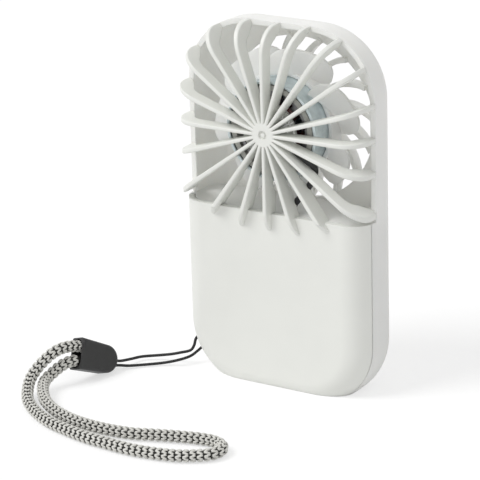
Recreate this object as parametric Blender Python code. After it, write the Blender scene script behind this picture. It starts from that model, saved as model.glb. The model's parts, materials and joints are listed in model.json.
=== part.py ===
"""Pocket fan that stands on its base: two moulded half shells, a motor hung from a cage of radial
ribs, a seven-blade impeller behind a swirl grille, a flat battery under a plain panel, and a wrist
strap on a thin cord. The rear, where the air enters, faces -Y."""
import math

import bmesh
import bpy
from mathutils import Matrix, Vector

MM = 0.001

# Housing
BODY_WIDTH = 57.0 * MM
BODY_HEIGHT = 100.0 * MM
BODY_THICKNESS = 18.8 * MM
CORNER_RADIUS = 19.0 * MM
BASE_CUT = 4.0 * MM
FACE_FILLET = 7.2 * MM
WALL = 1.5 * MM
SHELF_THICKNESS = 1.5 * MM
PARTING_DEPTH = 4.5 * MM
RIM_DEPTH = 2.4 * MM
SEAM = 0.25 * MM
CLEARANCE = 0.3 * MM
OVERRUN = 1.0 * MM
EMBED = 0.2 * MM
LEVEL_GAP = 0.05 * MM
ARC_GAP = 0.001 * MM

# Cage of ribs on the rear shell
RIB_COUNT = 20
CAGE_DEPTH = 11.8 * MM
CAGE_FILLET = 7.0 * MM
CAGE_UP = 28.2 * MM
CAGE_DOWN = 28.5 * MM
RIB_INNER_FILLET = 3.2 * MM
RIB_HUB_DEPTH = 3.2 * MM
RIB_THIN = 0.9 * MM
RIB_THICK = 1.3 * MM
RIB_EDGE_ROUND = 0.3 * MM
RIB_START = 3.05 * MM
LIP_THICKNESS = 0.9 * MM
LIP_TOP = 1.6 * MM
LIP_REACH = 1.0 * MM
PANEL_RIB_HALF_ANGLE = math.radians(45.0)

# Motor mount in the middle of the cage
HUB_DISC_RADIUS = 3.3 * MM
HUB_EDGE_ROUND = 0.3 * MM
DIMPLE_RADIUS = 1.1 * MM
BOSS_WALL = 0.8 * MM
HUB_FLOOR = 2.0 * MM
HUB_PLATE = 1.5 * MM
BOSS_LENGTH = 4.1 * MM

# Front grille
OPENING_RADIUS = 22.3 * MM
SWIRL_COUNT = 16
SWIRL_TURN = math.radians(5.0)
SWIRL_DISC_RADIUS = 9.0 * MM
SWIRL_THICKNESS = 1.5 * MM
SWIRL_DEPTH = 4.0 * MM
SWIRL_RIM_DEPTH = 2.4 * MM
SWIRL_BULGE = 2.2 * MM
SWIRL_ROOT = 0.5 * MM
SWIRL_DISC_THICKNESS = 1.5 * MM
SWIRL_INNER_SLANT = math.radians(4.0)
SWIRL_OUTER_SLANT = math.radians(42.0)

# Motor, with places along Y counted from the mid plane
TUBE_RADIUS = 2.6 * MM
TUBE_WALL = 0.55 * MM
TUBE_FRONT = -0.6 * MM
BEARING_LENGTH = 2.5 * MM
BEARING_INSET = 0.3 * MM
SHAFT_RADIUS = 0.75 * MM
SHAFT_FRONT = 3.4 * MM
SHAFT_CHAMFER = 0.2 * MM
CORE_BACKSET = 5.4 * MM
CORE_FRONT = -1.6 * MM
CORE_RADIUS = 10.6 * MM
CORE_RING = 1.2 * MM
POLE_COUNT = 6
POLE_WIDTH = 1.6 * MM
POLE_TURN = math.radians(-15.0)
SHOE_THICKNESS = 0.8 * MM
SHOE_HALF_ANGLE = math.radians(24.0)
INSULATOR_WALL = 0.6 * MM
INSULATOR_FLANGE = 4.7 * MM
INSULATOR_FLANGE_THICKNESS = 0.8 * MM
COIL_WALL = 1.1 * MM
COIL_END = 0.7 * MM
COIL_INNER_RADIUS = 5.3 * MM
COIL_ROUND = 0.9 * MM
BOARD_RING_RADIUS = 8.2 * MM
BOARD_RING_THICKNESS = 0.6 * MM
BOARD_RING_GAP = 0.1 * MM
MAGNET_INNER = 11.0 * MM
MAGNET_OUTER = 12.45 * MM
MAGNET_BACKSET = 4.6 * MM
MAGNET_FRONT = -0.7 * MM
CAN_RADIUS = 13.6 * MM
CAN_WALL = 0.85 * MM
CAN_BACKSET = 4.2 * MM
CAN_FRONT = 1.0 * MM
CAN_ROUND = 0.4 * MM

# Impeller
BLADE_COUNT = 7
BLADE_TIP_RADIUS = 21.3 * MM
TIP_ROOM = 0.9 * MM
BLADE_ROOT_RADIUS = 14.25 * MM
BLADE_BACKSET = 7.5 * MM
BLADE_HALF_ANGLE = math.radians(27.0)
BLADE_TURN = math.radians(21.2)
BLADE_THICKNESS = 1.2 * MM
BLADE_CAMBER = 0.6 * MM
SLEEVE_RADIUS = 14.7 * MM
SLEEVE_REAR = -1.0 * MM
SLEEVE_FRONT = 4.8 * MM
SLEEVE_ROUND = 0.5 * MM
CAP_THICKNESS = 1.0 * MM
SHAFT_BOSS_RADIUS = 2.4 * MM

# Battery room
BATTERY_WIDTH = 34.0 * MM
BATTERY_SPARE = 4.1 * MM
BATTERY_BOTTOM = 6.0 * MM
BATTERY_REAR = -7.5 * MM
BATTERY_FRONT = -1.5 * MM
BATTERY_ROUND = 1.5 * MM
PAD_WIDTH = 24.0 * MM
PAD_BOTTOM = 12.0 * MM
PAD_SPARE = 9.0 * MM
BOARD_WIDTH = 30.0 * MM
BOARD_BOTTOM = 2.5 * MM
BOARD_REAR = 3.4 * MM
BOARD_THICKNESS = 1.2 * MM
BOARD_CORNER = 2.0 * MM
SCREW_SPREAD = 11.5 * MM
SCREW_SPARE = 6.0 * MM
SCREW_HEAD_RADIUS = 1.8 * MM
SCREW_HEAD_THICKNESS = 1.2 * MM
SCREW_RADIUS = 0.8 * MM
SCREW_LENGTH = 3.9 * MM
SCREW_BOSS_RADIUS = 2.2 * MM
SOCKET_WIDTH = 9.0 * MM
SOCKET_HEIGHT = 2.9 * MM
SOCKET_LENGTH = 7.4 * MM
SOCKET_BOTTOM = 0.8 * MM
SOCKET_WALL = 0.35 * MM
SOCKET_POCKET = 6.3 * MM
TONGUE_WIDTH = 6.4 * MM
TONGUE_THICKNESS = 0.7 * MM

# Button and lamp on the front face
BUTTON_DROP = 11.0 * MM
BUTTON_RADIUS = 4.8 * MM
BUTTON_PROUD = 0.6 * MM
BUTTON_ROUND = 0.5 * MM
BUTTON_FLANGE = 1.0 * MM
BUTTON_FLANGE_THICKNESS = 0.6 * MM
BUTTON_STEM_RADIUS = 1.5 * MM
SWITCH_WIDTH = 6.0 * MM
SWITCH_THICKNESS = 1.2 * MM
SWITCH_ROUND = 0.4 * MM
PLUNGER_RADIUS = 1.6 * MM
PLUNGER_LENGTH = 0.8 * MM
PLUNGER_POCKET = 0.7 * MM
LAMP_DROP = 11.0 * MM
LAMP_RADIUS = 1.0 * MM
LAMP_FLANGE = 0.7 * MM
LAMP_PROUD = 0.1 * MM

# Holes for the strap's cord, in the round corner at the lower left
LANYARD_ANGLE = math.radians(206.0)
LANYARD_HALF_PITCH = 1.75 * MM
LANYARD_HOLE_RADIUS = 0.8 * MM
LANYARD_DEPTH = 3.1 * MM

# Clip between cord and strap, in its own frame: length along X, width along Y
CLIP_MOUTH = Vector((-49.72 * MM, -30.42 * MM, 7.94 * MM))
CLIP_AZIMUTH = math.radians(68.0)
CLIP_SLOPE = math.radians(20.0)
CLIP_ROLL = math.radians(20.0)
CLIP_LENGTH = 13.5 * MM
CLIP_MOUTH_WIDTH = 8.8 * MM
CLIP_TIP_RADIUS = 3.9 * MM
CLIP_THICKNESS = 4.9 * MM
CLIP_ROUND = 0.7 * MM
CLIP_POCKET_DEPTH = 3.4 * MM
STRAP_OFFSET = 1.95 * MM
CORD_HOLE_DEPTH = 1.9 * MM
CORD_HOLE_RADIUS = 0.7 * MM
CORD_PLACES = (-0.7 * MM, -2.1 * MM)

# Flexible runs, with their routes in millimetres: the lead's heights are counted from the hub,
# and its depths at the motor from the bell's rear edge
STRAP_DIAMETER = 3.5 * MM
STRAP_STEP = 4.2 * MM
STRAP_ROUTE = (
    (-49.05, -26.98, 8.64), (-50.35, -30.25, 9.9), (-51.5, -33.6, 10.5), (-52.8, -36.7, 9.9),
    (-54.1, -39.3, 8.3), (-55.1, -41.7, 6.4), (-55.1, -44.6, 4.6), (-53.4, -48.3, 3.2),
    (-50.0, -52.7, 2.2), (-44.4, -57.0, 1.8), (-37.4, -60.7, 1.8), (-30.6, -62.7, 1.8),
    (-23.2, -64.3, 1.8), (-16.1, -64.9, 1.8), (-8.7, -65.2, 1.8), (-2.2, -64.4, 1.8),
    (3.7, -62.9, 1.8), (8.6, -60.2, 1.8), (11.3, -57.6, 1.8), (11.9, -54.4, 1.8),
    (10.1, -51.8, 1.8), (6.7, -50.8, 1.8), (2.6, -51.3, 1.8), (-2.9, -52.8, 1.8), (-8.7, -54.8, 1.8),
    (-14.4, -56.8, 1.8), (-21.1, -57.6, 1.8), (-28.0, -57.4, 1.8), (-34.3, -56.2, 1.8),
    (-40.2, -54.1, 2.0), (-45.6, -50.8, 2.3), (-49.9, -46.2, 2.6), (-52.9, -41.1, 3.1),
    (-52.4, -37.7, 4.6), (-51.0, -34.8, 6.1), (-49.6, -31.8, 6.4), (-48.28, -28.64, 5.19),
)
CORD_DIAMETER = 0.8 * MM
CORD_STEP = 2.0 * MM
CORD_ROUTE = (
    (-45.39, -20.36, 3.25), (-44.85, -19.0, 2.73), (-44.4, -17.2, 2.1), (-43.6, -13.5, 1.5),
    (-42.2, -10.0, 1.25), (-38.0, -7.3, 1.5), (-34.5, -6.8, 2.3), (-31.5, -6.7, 3.3),
    (-28.9, -5.7, 4.1), (-28.2, -4.8, 5.4), (-28.2, -3.9, 6.9), (-27.6, -3.3, 7.95),
    (-26.57, -3.1, 8.5), (-24.7, -3.1, 8.95), (-23.64, -3.1, 8.1), (-23.56, -3.1, 6.81),
    (-24.95, -3.1, 5.62), (-26.5, -3.25, 4.75), (-27.6, -4.1, 3.6), (-28.8, -5.9, 2.5),
    (-30.8, -8.4, 1.9), (-34.6, -10.1, 0.9), (-38.8, -13.4, 0.7), (-42.0, -16.6, 0.9),
    (-43.9, -18.4, 1.3), (-44.77, -20.09, 1.68), (-45.12, -20.95, 2.02),
)
LEAD_DIAMETER = 1.8 * MM
LEAD_STEP = 2.0 * MM
LEAD_SHELF_X = 5.5 * MM
LEAD_SHELF_DEPTH = 5.7 * MM
LEAD_MOTOR_ROUTE = (
    (7.57, -0.8, -3.86), (9.8, -1.1, -4.99), (11.89, -1.2, -6.19), (12.7, -0.5, -7.14),
    (12.98, 0.4, -8.22), (12.69, 0.9, -9.85), (11.76, 1.1, -12.16), (10.01, 1.1, -14.84),
    (7.81, 1.15, -17.54), (6.0, 1.4, -19.6),
)
LEAD_SHELF_ROUTE = (
    (5.5, -5.75, -21.5), (5.5, -5.7, -23.4), (5.5, -4.9, -25.1), (5.5, -3.2, -25.9),
    (5.5, -1.0, -26.5), (5.5, 0.5, -27.8), (5.5, 1.8, -28.7), (5.5, 3.0, -28.9),
)

# Fineness of the round forms
ROUND_STEPS = 32
SMALL_STEPS = 18
CORNER_STEPS = 8
FILLET_STEPS = 5
CORNER_SMALL_STEPS = 3
SWIRL_STEPS = 5
BLADE_SPAN_STEPS = 3
BLADE_CHORD_STEPS = 6
CURVE_SAMPLES = 14
SOLVE_STEPS = 30

# Shares of the sizes that they follow
SWIRL_DEPTH_POWER_SHARE = 4.0
BLADE_TAPER_SHARE = 0.5
BLADE_PETAL_SHARE = 0.85
SMOOTH_ANGLE = math.radians(35.0)

HUB_HEIGHT = BODY_HEIGHT - CAGE_UP
SHELF_TOP = HUB_HEIGHT - BLADE_TIP_RADIUS - TIP_ROOM
BLADE_HALF_DEPTH = CAGE_DEPTH - BLADE_BACKSET
REAR_FACE = -BODY_THICKNESS / 2
FRONT_FACE = BODY_THICKNESS / 2
HALF_WIDTH = BODY_WIDTH / 2
CORNER_X = HALF_WIDTH - CORNER_RADIUS
CORNER_LOW = CORNER_RADIUS - BASE_CUT
CORNER_HIGH = BODY_HEIGHT - CORNER_RADIUS
FILLET_START = BODY_THICKNESS / 2 - FACE_FILLET
SHELF_BOTTOM = SHELF_TOP - SHELF_THICKNESS
INNER_REAR = REAR_FACE + WALL
INNER_FRONT = FRONT_FACE - WALL
CAGE_SHOULDER = CAGE_DEPTH - CAGE_FILLET
CAGE_INNER_DEPTH = CAGE_SHOULDER + RIB_INNER_FILLET
LIP_INSET = WALL + CLEARANCE
LIP_INNER = LIP_INSET + LIP_THICKNESS
FOOT_DEPTH = RIM_DEPTH + CLEARANCE
RIB_INNER = -CAGE_DEPTH + RIB_HUB_DEPTH
HUB_INNER = -CAGE_DEPTH + HUB_FLOOR
BOSS_ROOT = -CAGE_DEPTH + HUB_PLATE
BOSS_FRONT = -CAGE_DEPTH + BOSS_LENGTH
TUBE_REAR = HUB_INNER + CLEARANCE
CORE_REAR = -CAGE_DEPTH + CORE_BACKSET
MAGNET_REAR = -CAGE_DEPTH + MAGNET_BACKSET
CAN_REAR = -CAGE_DEPTH + CAN_BACKSET
BOSS_BORE = TUBE_RADIUS + CLEARANCE
BOSS_RADIUS = BOSS_BORE + BOSS_WALL
BOARD_FRONT = BOARD_REAR + BOARD_THICKNESS
BOARD_TOP = SHELF_BOTTOM - BATTERY_SPARE
BATTERY_LENGTH = BOARD_TOP - BATTERY_BOTTOM
PAD_TOP = BOARD_TOP - PAD_SPARE
SCREW_HEIGHT = BOARD_TOP - SCREW_SPARE
BUTTON_HEIGHT = BOARD_TOP - BUTTON_DROP
LAMP_HEIGHT = BUTTON_HEIGHT - LAMP_DROP
SWITCH_REAR = BOARD_FRONT + CLEARANCE
SWITCH_FRONT = SWITCH_REAR + SWITCH_THICKNESS
PLUNGER_REAR = SWITCH_FRONT - PLUNGER_POCKET + CLEARANCE
PLUNGER_FRONT = PLUNGER_REAR + PLUNGER_LENGTH
STEM_REAR = PLUNGER_FRONT + CLEARANCE
FLANGE_FRONT = INNER_FRONT - CLEARANCE


# Materials

def material(name, colour, roughness, metallic=0.0):
    """Plain surface with one colour."""
    result = bpy.data.materials.new(name)
    result.use_nodes = True
    shader = result.node_tree.nodes["Principled BSDF"]
    shader.inputs["Base Color"].default_value = (*colour, 1.0)
    shader.inputs["Roughness"].default_value = roughness
    shader.inputs["Metallic"].default_value = metallic
    result.diffuse_color = (*colour, 1.0)
    return result


def make_materials():
    """One material for each kind of piece."""
    return {
        "white_shell": material("white_shell", (0.80, 0.80, 0.77), 0.45),
        "white_blade": material("white_blade", (0.72, 0.73, 0.71), 0.4),
        "steel": material("steel", (0.52, 0.55, 0.57), 0.35, 1.0),
        "magnet": material("magnet", (0.26, 0.26, 0.24), 0.6, 0.3),
        "laminate": material("laminate", (0.34, 0.34, 0.36), 0.45, 0.9),
        "copper": material("copper", (0.30, 0.07, 0.04), 0.35, 0.6),
        "black_plastic": material("black_plastic", (0.02, 0.02, 0.022), 0.5),
        "brass": material("brass", (0.68, 0.52, 0.24), 0.35, 1.0),
        "board": material("board", (0.02, 0.13, 0.06), 0.45),
        "battery": material("battery", (0.30, 0.32, 0.36), 0.4, 0.5),
        "foam": material("foam", (0.05, 0.05, 0.05), 0.9),
        "button": material("button", (0.74, 0.74, 0.72), 0.35),
        "lamp": material("lamp", (0.85, 0.88, 0.9), 0.15),
        "clip": material("clip", (0.034, 0.034, 0.036), 0.5),
        "cord": material("cord", (0.012, 0.012, 0.013), 0.85),
        "strap": material("strap", (0.52, 0.52, 0.49), 0.9),
    }


# Meshes

def turn(step, steps):
    """Angle of one step of a full turn."""
    return math.tau * step / steps


def join_rings(mesh, near, far):
    """Faces between two rings of equal length, or a ring and a point."""
    count = max(len(near), len(far))
    for step in range(count):
        after = (step + 1) % count
        if len(near) == 1:
            mesh.faces.new((near[0], far[after], far[step]))
        elif len(far) == 1:
            mesh.faces.new((near[step], near[after], far[0]))
        else:
            mesh.faces.new((near[step], near[after], far[after], far[step]))


def finished(mesh):
    """The mesh with its faces pointing out."""
    bmesh.ops.recalc_face_normals(mesh, faces=mesh.faces)
    return mesh


def strip_cap(mesh, ring):
    """Close a bent, flat ring with faces between its two sides."""
    count = len(ring)
    for near in range(count // 2 - 1):
        mesh.faces.new((ring[near], ring[near + 1], ring[count - 2 - near], ring[count - 1 - near]))


def loft(rings, bent=False):
    """Closed body through rings of equal length, capped at both ends."""
    mesh = bmesh.new()
    layers = [[mesh.verts.new(point) for point in ring] for ring in rings]
    for near, far in zip(layers, layers[1:]):
        join_rings(mesh, near, far)
    for ring in (layers[0], layers[-1]):
        if bent:
            strip_cap(mesh, ring)
        else:
            mesh.faces.new(ring)
    return finished(mesh)


def turned(profile, steps=ROUND_STEPS):
    """Body turned about Y from a closed profile of radius and y."""
    mesh = bmesh.new()
    rings = []
    for radius, y in profile:
        angles = [turn(step, steps) for step in range(steps if radius > 0 else 1)]
        ring = [mesh.verts.new((radius * math.cos(a), y, radius * math.sin(a))) for a in angles]
        rings.append(ring)
    for near, far in zip(rings, rings[1:] + rings[:1]):
        if len(near) + len(far) > 2:
            join_rings(mesh, near, far)
    return finished(mesh)


def ring_profile(inner, outer, rear, front):
    """Profile of a plain ring."""
    return ((inner, rear), (outer, rear), (outer, front), (inner, front))


def plate(outline, rear, front):
    """Flat body between two depths, from an outline in X and Z."""
    return loft([[(x, y, z) for x, z in outline] for y in (rear, front)])


def tower(outline, low, high):
    """Flat body between two heights, from an outline in X and Y."""
    return loft([[(x, y, z) for x, y in outline] for z in (low, high)])


def arc(centre_x, centre_z, radius, start, end, steps):
    """Points along an arc, both ends included."""
    angles = [start + (end - start) * step / steps for step in range(steps + 1)]
    return [(centre_x + radius * math.cos(a), centre_z + radius * math.sin(a)) for a in angles]


def rounded(width, height, radius, centre=(0.0, 0.0), steps=CORNER_SMALL_STEPS):
    """Outline of a rectangle with round corners."""
    across = width / 2 - radius
    up = height / 2 - radius
    quarter = math.pi / 2
    corners = ((across, up), (-across, up), (-across, -up), (across, -up))
    points = []
    for number, (x, z) in enumerate(corners):
        start = number * quarter
        points += arc(centre[0] + x, centre[1] + z, radius, start, start + quarter, steps)
    return points


def moved(mesh, matrix):
    """The mesh carried through a matrix."""
    bmesh.ops.transform(mesh, matrix=matrix, verts=mesh.verts)
    return mesh


def at(x, y, z):
    """Matrix that shifts a mesh."""
    return Matrix.Translation((x, y, z))


# Objects

def new_object(name, mesh, surface=None, parent=None, place=(0.0, 0.0, 0.0)):
    """Object from a mesh, shaded smooth where it is round."""
    data = bpy.data.meshes.new(name)
    mesh.to_mesh(data)
    mesh.free()
    data.shade_smooth()
    data.set_sharp_from_angle(angle=SMOOTH_ANGLE)
    if surface:
        data.materials.append(surface)
    result = bpy.data.objects.new(name, data)
    bpy.context.scene.collection.objects.link(result)
    result.parent = parent
    result.location = place
    return result


def new_empty(name, place):
    """Empty that carries a group of pieces."""
    result = bpy.data.objects.new(name, None)
    result.location = place
    bpy.context.scene.collection.objects.link(result)
    return result


def guides(name, meshes, parent=None, place=(0.0, 0.0, 0.0)):
    """Hidden helper bodies, gathered in a collection for a boolean."""
    group = bpy.data.collections.new(name)
    bpy.context.scene.collection.children.link(group)
    for number, mesh in enumerate(meshes):
        helper = new_object(f"{name}_{number}", mesh, parent=parent, place=place)
        bpy.context.scene.collection.objects.unlink(helper)
        group.objects.link(helper)
        helper.hide_render = True
        helper.display_type = "WIRE"
    return group


def combine(target, operation, group):
    """Boolean of the target with every body in a group."""
    modifier = target.modifiers.new(group.name, "BOOLEAN")
    modifier.operation = operation
    modifier.solver = "EXACT"
    modifier.operand_type = "COLLECTION"
    modifier.collection = group


# Housing outlines

def housing_inset(y, wall=0.0):
    """How far the housing's surface at y, or its inner face a wall deep, lies inside the outline."""
    depth = abs(y) - FILLET_START
    if depth <= 0:
        return wall
    radius = FACE_FILLET - wall
    return FACE_FILLET - math.sqrt(max(radius ** 2 - depth ** 2, 0.0))


def housing_outline(inset, floor=0.0, top=None):
    """Outline of the housing, drawn in by inset, cut flat at the floor and perhaps at a top."""
    radius = CORNER_RADIUS - inset
    lowest = -math.asin(min(1.0, (CORNER_LOW - floor) / radius))
    right = arc(CORNER_X, CORNER_LOW, radius, lowest, 0.0, CORNER_STEPS)
    if top is None:
        right += arc(CORNER_X, CORNER_HIGH, radius, 0.0, math.pi / 2, CORNER_STEPS)
    else:
        right.append((HALF_WIDTH - inset, top))
    left = [(-x, z) for x, z in reversed(right)]
    return right + left


def housing_levels(start, end, wall=0.0):
    """Depths at which the rounded housing needs a ring, from start to end."""
    radius = FACE_FILLET - wall
    quarter = math.pi / 2
    rounds = [
        FILLET_START + radius * math.sin(quarter * step / FILLET_STEPS)
        for step in range(FILLET_STEPS + 1)
    ]
    marks = sorted([-y for y in rounds] + rounds)
    inner = [y for y in marks if start + LEVEL_GAP < y < end - LEVEL_GAP]
    return [start] + inner + [end]


def housing_body(start, end, wall=0.0, floor=0.0, top=None):
    """Solid or hollow of the housing between two depths."""
    rings = []
    for y in housing_levels(start, end, wall):
        outline = housing_outline(housing_inset(y, wall), floor, top)
        rings.append([(x, y, z) for x, z in outline])
    return loft(rings)


# Rear shell

def cage_distance(x, z):
    """Signed distance from a point about the hub to the cage's outline, negative inside."""
    if SHELF_TOP - HUB_HEIGHT < z < 0:
        return abs(x) - HALF_WIDTH
    half_height = CAGE_UP if z > 0 else CAGE_DOWN
    over_x = abs(x) - HALF_WIDTH + CORNER_RADIUS
    over_z = abs(z) - half_height + CORNER_RADIUS
    outside = math.hypot(max(over_x, 0.0), max(over_z, 0.0))
    return outside + min(max(over_x, over_z), 0.0) - CORNER_RADIUS


def cage_reach(angle, side, inset):
    """How far a line beside a spoke runs before it meets the outline, drawn in by inset."""
    near = 0.0
    far = BODY_WIDTH
    for _ in range(SOLVE_STEPS):
        middle = (near + far) / 2
        x = middle * math.cos(angle) - side * math.sin(angle)
        z = middle * math.sin(angle) + side * math.cos(angle)
        if cage_distance(x, z) < -inset:
            near = middle
        else:
            far = middle
    return near


def rib_outline(angle, side, round_off):
    """Closed outline of a cage rib in reach and y, its outer edge drawn in by round_off."""
    on_panel = math.cos(angle + math.pi / 2) > math.cos(PANEL_RIB_HALF_ANGLE)
    fade = math.asin((abs(REAR_FACE) - EMBED - CAGE_SHOULDER) / CAGE_FILLET)
    last = fade if on_panel else 0.0
    points = [(RIB_START, -CAGE_DEPTH + round_off)]
    for step in range(FILLET_STEPS + 1):
        t = math.pi / 2 + (last - math.pi / 2) * step / FILLET_STEPS
        inset = CAGE_FILLET - (CAGE_FILLET - round_off) * math.cos(t)
        y = -CAGE_SHOULDER - (CAGE_FILLET - round_off) * math.sin(t)
        points.append((cage_reach(angle, side, inset), y))
    if on_panel:
        points.append((cage_reach(angle, side, CAGE_FILLET), -CAGE_INNER_DEPTH))
    else:
        rim = cage_reach(angle, side, LIP_INSET)
        lip = cage_reach(angle, side, LIP_INNER)
        points.append((cage_reach(angle, side, round_off), -FOOT_DEPTH))
        points += [(rim, -FOOT_DEPTH), (rim, 0.0), (lip, 0.0)]
        for step in range(CORNER_SMALL_STEPS + 1):
            t = math.pi / 2 * step / CORNER_SMALL_STEPS
            inset = CAGE_FILLET - RIB_INNER_FILLET * math.cos(t)
            y = -CAGE_SHOULDER - RIB_INNER_FILLET * math.sin(t)
            points.append((cage_reach(angle, side, inset), y))
    points.append((RIB_START, RIB_INNER))
    return points


def rib_half_thickness(reach):
    """A rib grows thicker away from the hub."""
    share = (reach - RIB_START) / (HALF_WIDTH - RIB_START)
    return (RIB_THIN + (RIB_THICK - RIB_THIN) * share) / 2


def rib_body(angle):
    """One cage rib, from the hub over the shoulder to its foot."""
    layers = []
    for sign, edge in ((-1, 1), (-1, 0), (1, 0), (1, 1)):
        round_off = RIB_EDGE_ROUND * edge
        middle_side = sign * (RIB_THICK / 2 - RIB_EDGE_ROUND * (1 - edge))
        layer = []
        for reach, y in rib_outline(angle, middle_side, round_off):
            side = sign * (rib_half_thickness(reach) - RIB_EDGE_ROUND * (1 - edge))
            x = reach * math.cos(angle) - side * math.sin(angle)
            z = reach * math.sin(angle) + side * math.cos(angle)
            layer.append((x, y, z + HUB_HEIGHT))
        layers.append(layer)
    return loft(layers)


def lip_body():
    """Arched lip that drops into the front shell round the cage."""
    low = SHELF_TOP + CLEARANCE
    outer = arched_outline(LIP_INSET, low)
    inner = arched_outline(LIP_INNER, low)
    return plate(outer + list(reversed(inner)), -LIP_TOP, LIP_REACH)


def arched_outline(inset, low):
    """Upper part of the housing's outline, from the right foot over the top to the left."""
    right = [(HALF_WIDTH - inset, low)]
    right += arc(CORNER_X, CORNER_HIGH, CORNER_RADIUS - inset, 0.0, math.pi / 2, CORNER_STEPS)
    return right + [(-x, z) for x, z in reversed(right)]


def hub_body():
    """Disc in the middle of the cage with the socket for the bearing tube."""
    rim = HUB_DISC_RADIUS - HUB_EDGE_ROUND
    low = DIMPLE_RADIUS - HUB_EDGE_ROUND
    profile = (
        (0.0, -CAGE_DEPTH + HUB_EDGE_ROUND), (low, -CAGE_DEPTH + HUB_EDGE_ROUND),
        (DIMPLE_RADIUS, -CAGE_DEPTH), (rim, -CAGE_DEPTH),
        (HUB_DISC_RADIUS, -CAGE_DEPTH + HUB_EDGE_ROUND), (HUB_DISC_RADIUS, BOSS_ROOT),
        (BOSS_RADIUS, BOSS_ROOT), (BOSS_RADIUS, BOSS_FRONT), (BOSS_BORE, BOSS_FRONT),
        (BOSS_BORE, HUB_INNER), (0.0, HUB_INNER),
    )
    return moved(turned(profile, SMALL_STEPS), at(0, 0, HUB_HEIGHT))


def make_rear_shell(surface):
    """Panel over the battery, cage over the impeller, and the lip, moulded in one."""
    panel = housing_body(REAR_FACE, -PARTING_DEPTH, top=SHELF_TOP)
    shell = new_object("rear_shell", panel, surface)
    room = housing_body(INNER_REAR, -PARTING_DEPTH + OVERRUN, WALL, WALL, SHELF_TOP + OVERRUN)
    combine(shell, "DIFFERENCE", guides("panel_room", [room]))
    ribs = [rib_body(math.tau * number / RIB_COUNT) for number in range(RIB_COUNT)]
    combine(shell, "UNION", guides("cage", ribs + [hub_body(), lip_body()]))
    return shell


# Front shell

def swirl_front(radius):
    """Depth of the bulged grille's front at a radius."""
    return FRONT_FACE + SWIRL_BULGE * (1 - (radius / OPENING_RADIUS) ** 3)


def swirl_body(start_angle):
    """One swirl rib from the grille's disc to the housing's face."""
    first = SWIRL_DISC_RADIUS - SWIRL_ROOT
    last = OPENING_RADIUS + SWIRL_ROOT
    rings = []
    angle = start_angle
    for step in range(SWIRL_STEPS + 1):
        share = step / SWIRL_STEPS
        radius = last + (first - last) * share
        slant = SWIRL_OUTER_SLANT + (SWIRL_INNER_SLANT - SWIRL_OUTER_SLANT) * share
        if step:
            angle += math.tan(slant) * (last - first) / SWIRL_STEPS / radius
        along = angle - slant
        side_x = -math.sin(along) * SWIRL_THICKNESS / 2
        side_z = math.cos(along) * SWIRL_THICKNESS / 2
        x = radius * math.cos(angle)
        z = radius * math.sin(angle) + HUB_HEIGHT
        drop = SWIRL_DEPTH - SWIRL_RIM_DEPTH
        depth = SWIRL_DEPTH - drop * (radius / last) ** SWIRL_DEPTH_POWER_SHARE
        front = swirl_front(radius) - (0.0 if step else EMBED)
        rear = front - depth + (0.0 if step else EMBED)
        rings.append([
            (x + side_x, front, z + side_z), (x - side_x, front, z - side_z),
            (x - side_x, rear, z - side_z), (x + side_x, rear, z + side_z),
        ])
    return loft(rings)


def swirl_disc():
    """Round plate in the middle of the grille."""
    front = swirl_front(0.0)
    edge = swirl_front(SWIRL_DISC_RADIUS)
    rear = edge - SWIRL_DISC_THICKNESS
    profile = (
        (0.0, front), (0.0, rear), (SWIRL_DISC_RADIUS, rear), (SWIRL_DISC_RADIUS, edge),
        (SWIRL_DISC_RADIUS - SWIRL_ROOT, front),
    )
    return moved(turned(profile), at(0, 0, HUB_HEIGHT))


def shelf_body():
    """Shelf between impeller and battery, with a tongue that reaches into the rear shell."""
    front = INNER_FRONT + EMBED
    joint = -PARTING_DEPTH + CLEARANCE
    tip = INNER_REAR + CLEARANCE
    half = []
    for y in housing_levels(tip, joint, WALL):
        half.append((HALF_WIDTH - housing_inset(y, WALL) - CLEARANCE, y))
    for y in housing_levels(joint, front, WALL):
        half.append((HALF_WIDTH - housing_inset(min(y, INNER_FRONT), WALL) + EMBED, y))
    outline = half + [(-x, y) for x, y in reversed(half)]
    return tower(outline, SHELF_BOTTOM, SHELF_TOP)


def screw_places():
    """Where the board is screwed down, in X and Z."""
    return ((-SCREW_SPREAD, SCREW_HEIGHT), (SCREW_SPREAD, SCREW_HEIGHT))


def disc(radius, rear, front, x=0.0, z=0.0, steps=SMALL_STEPS):
    """Round body along Y."""
    profile = ((0.0, rear), (radius, rear), (radius, front), (0.0, front))
    return moved(turned(profile, steps), at(x, 0, z))


def screw_boss(x, z):
    """Boss on the inner face that a board screw enters."""
    rear = BOARD_FRONT + CLEARANCE
    bore = SCREW_RADIUS + CLEARANCE
    depth = BOARD_REAR - CLEARANCE + SCREW_LENGTH + CLEARANCE
    front = INNER_FRONT + EMBED
    profile = (
        (0.0, depth), (bore, depth), (bore, rear), (SCREW_BOSS_RADIUS, rear),
        (SCREW_BOSS_RADIUS, front), (0.0, front),
    )
    return moved(turned(profile, SMALL_STEPS), at(x, 0, z))


def lanyard_hole(sign):
    """Cutter for one of the two cord holes through the corner's wall."""
    turn_step = LANYARD_HALF_PITCH / CORNER_RADIUS
    angle = LANYARD_ANGLE + sign * turn_step
    cutter = disc(LANYARD_HOLE_RADIUS, -WALL - OVERRUN, WALL + OVERRUN, steps=SMALL_STEPS)
    reach = CORNER_RADIUS - WALL / 2
    x = -CORNER_X + reach * math.cos(angle)
    z = CORNER_LOW + reach * math.sin(angle)
    lie = Matrix.Rotation(-angle, 4, "Y") @ Matrix.Rotation(-math.pi / 2, 4, "Z")
    return moved(cutter, at(x, -LANYARD_DEPTH, z) @ lie)


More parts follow.
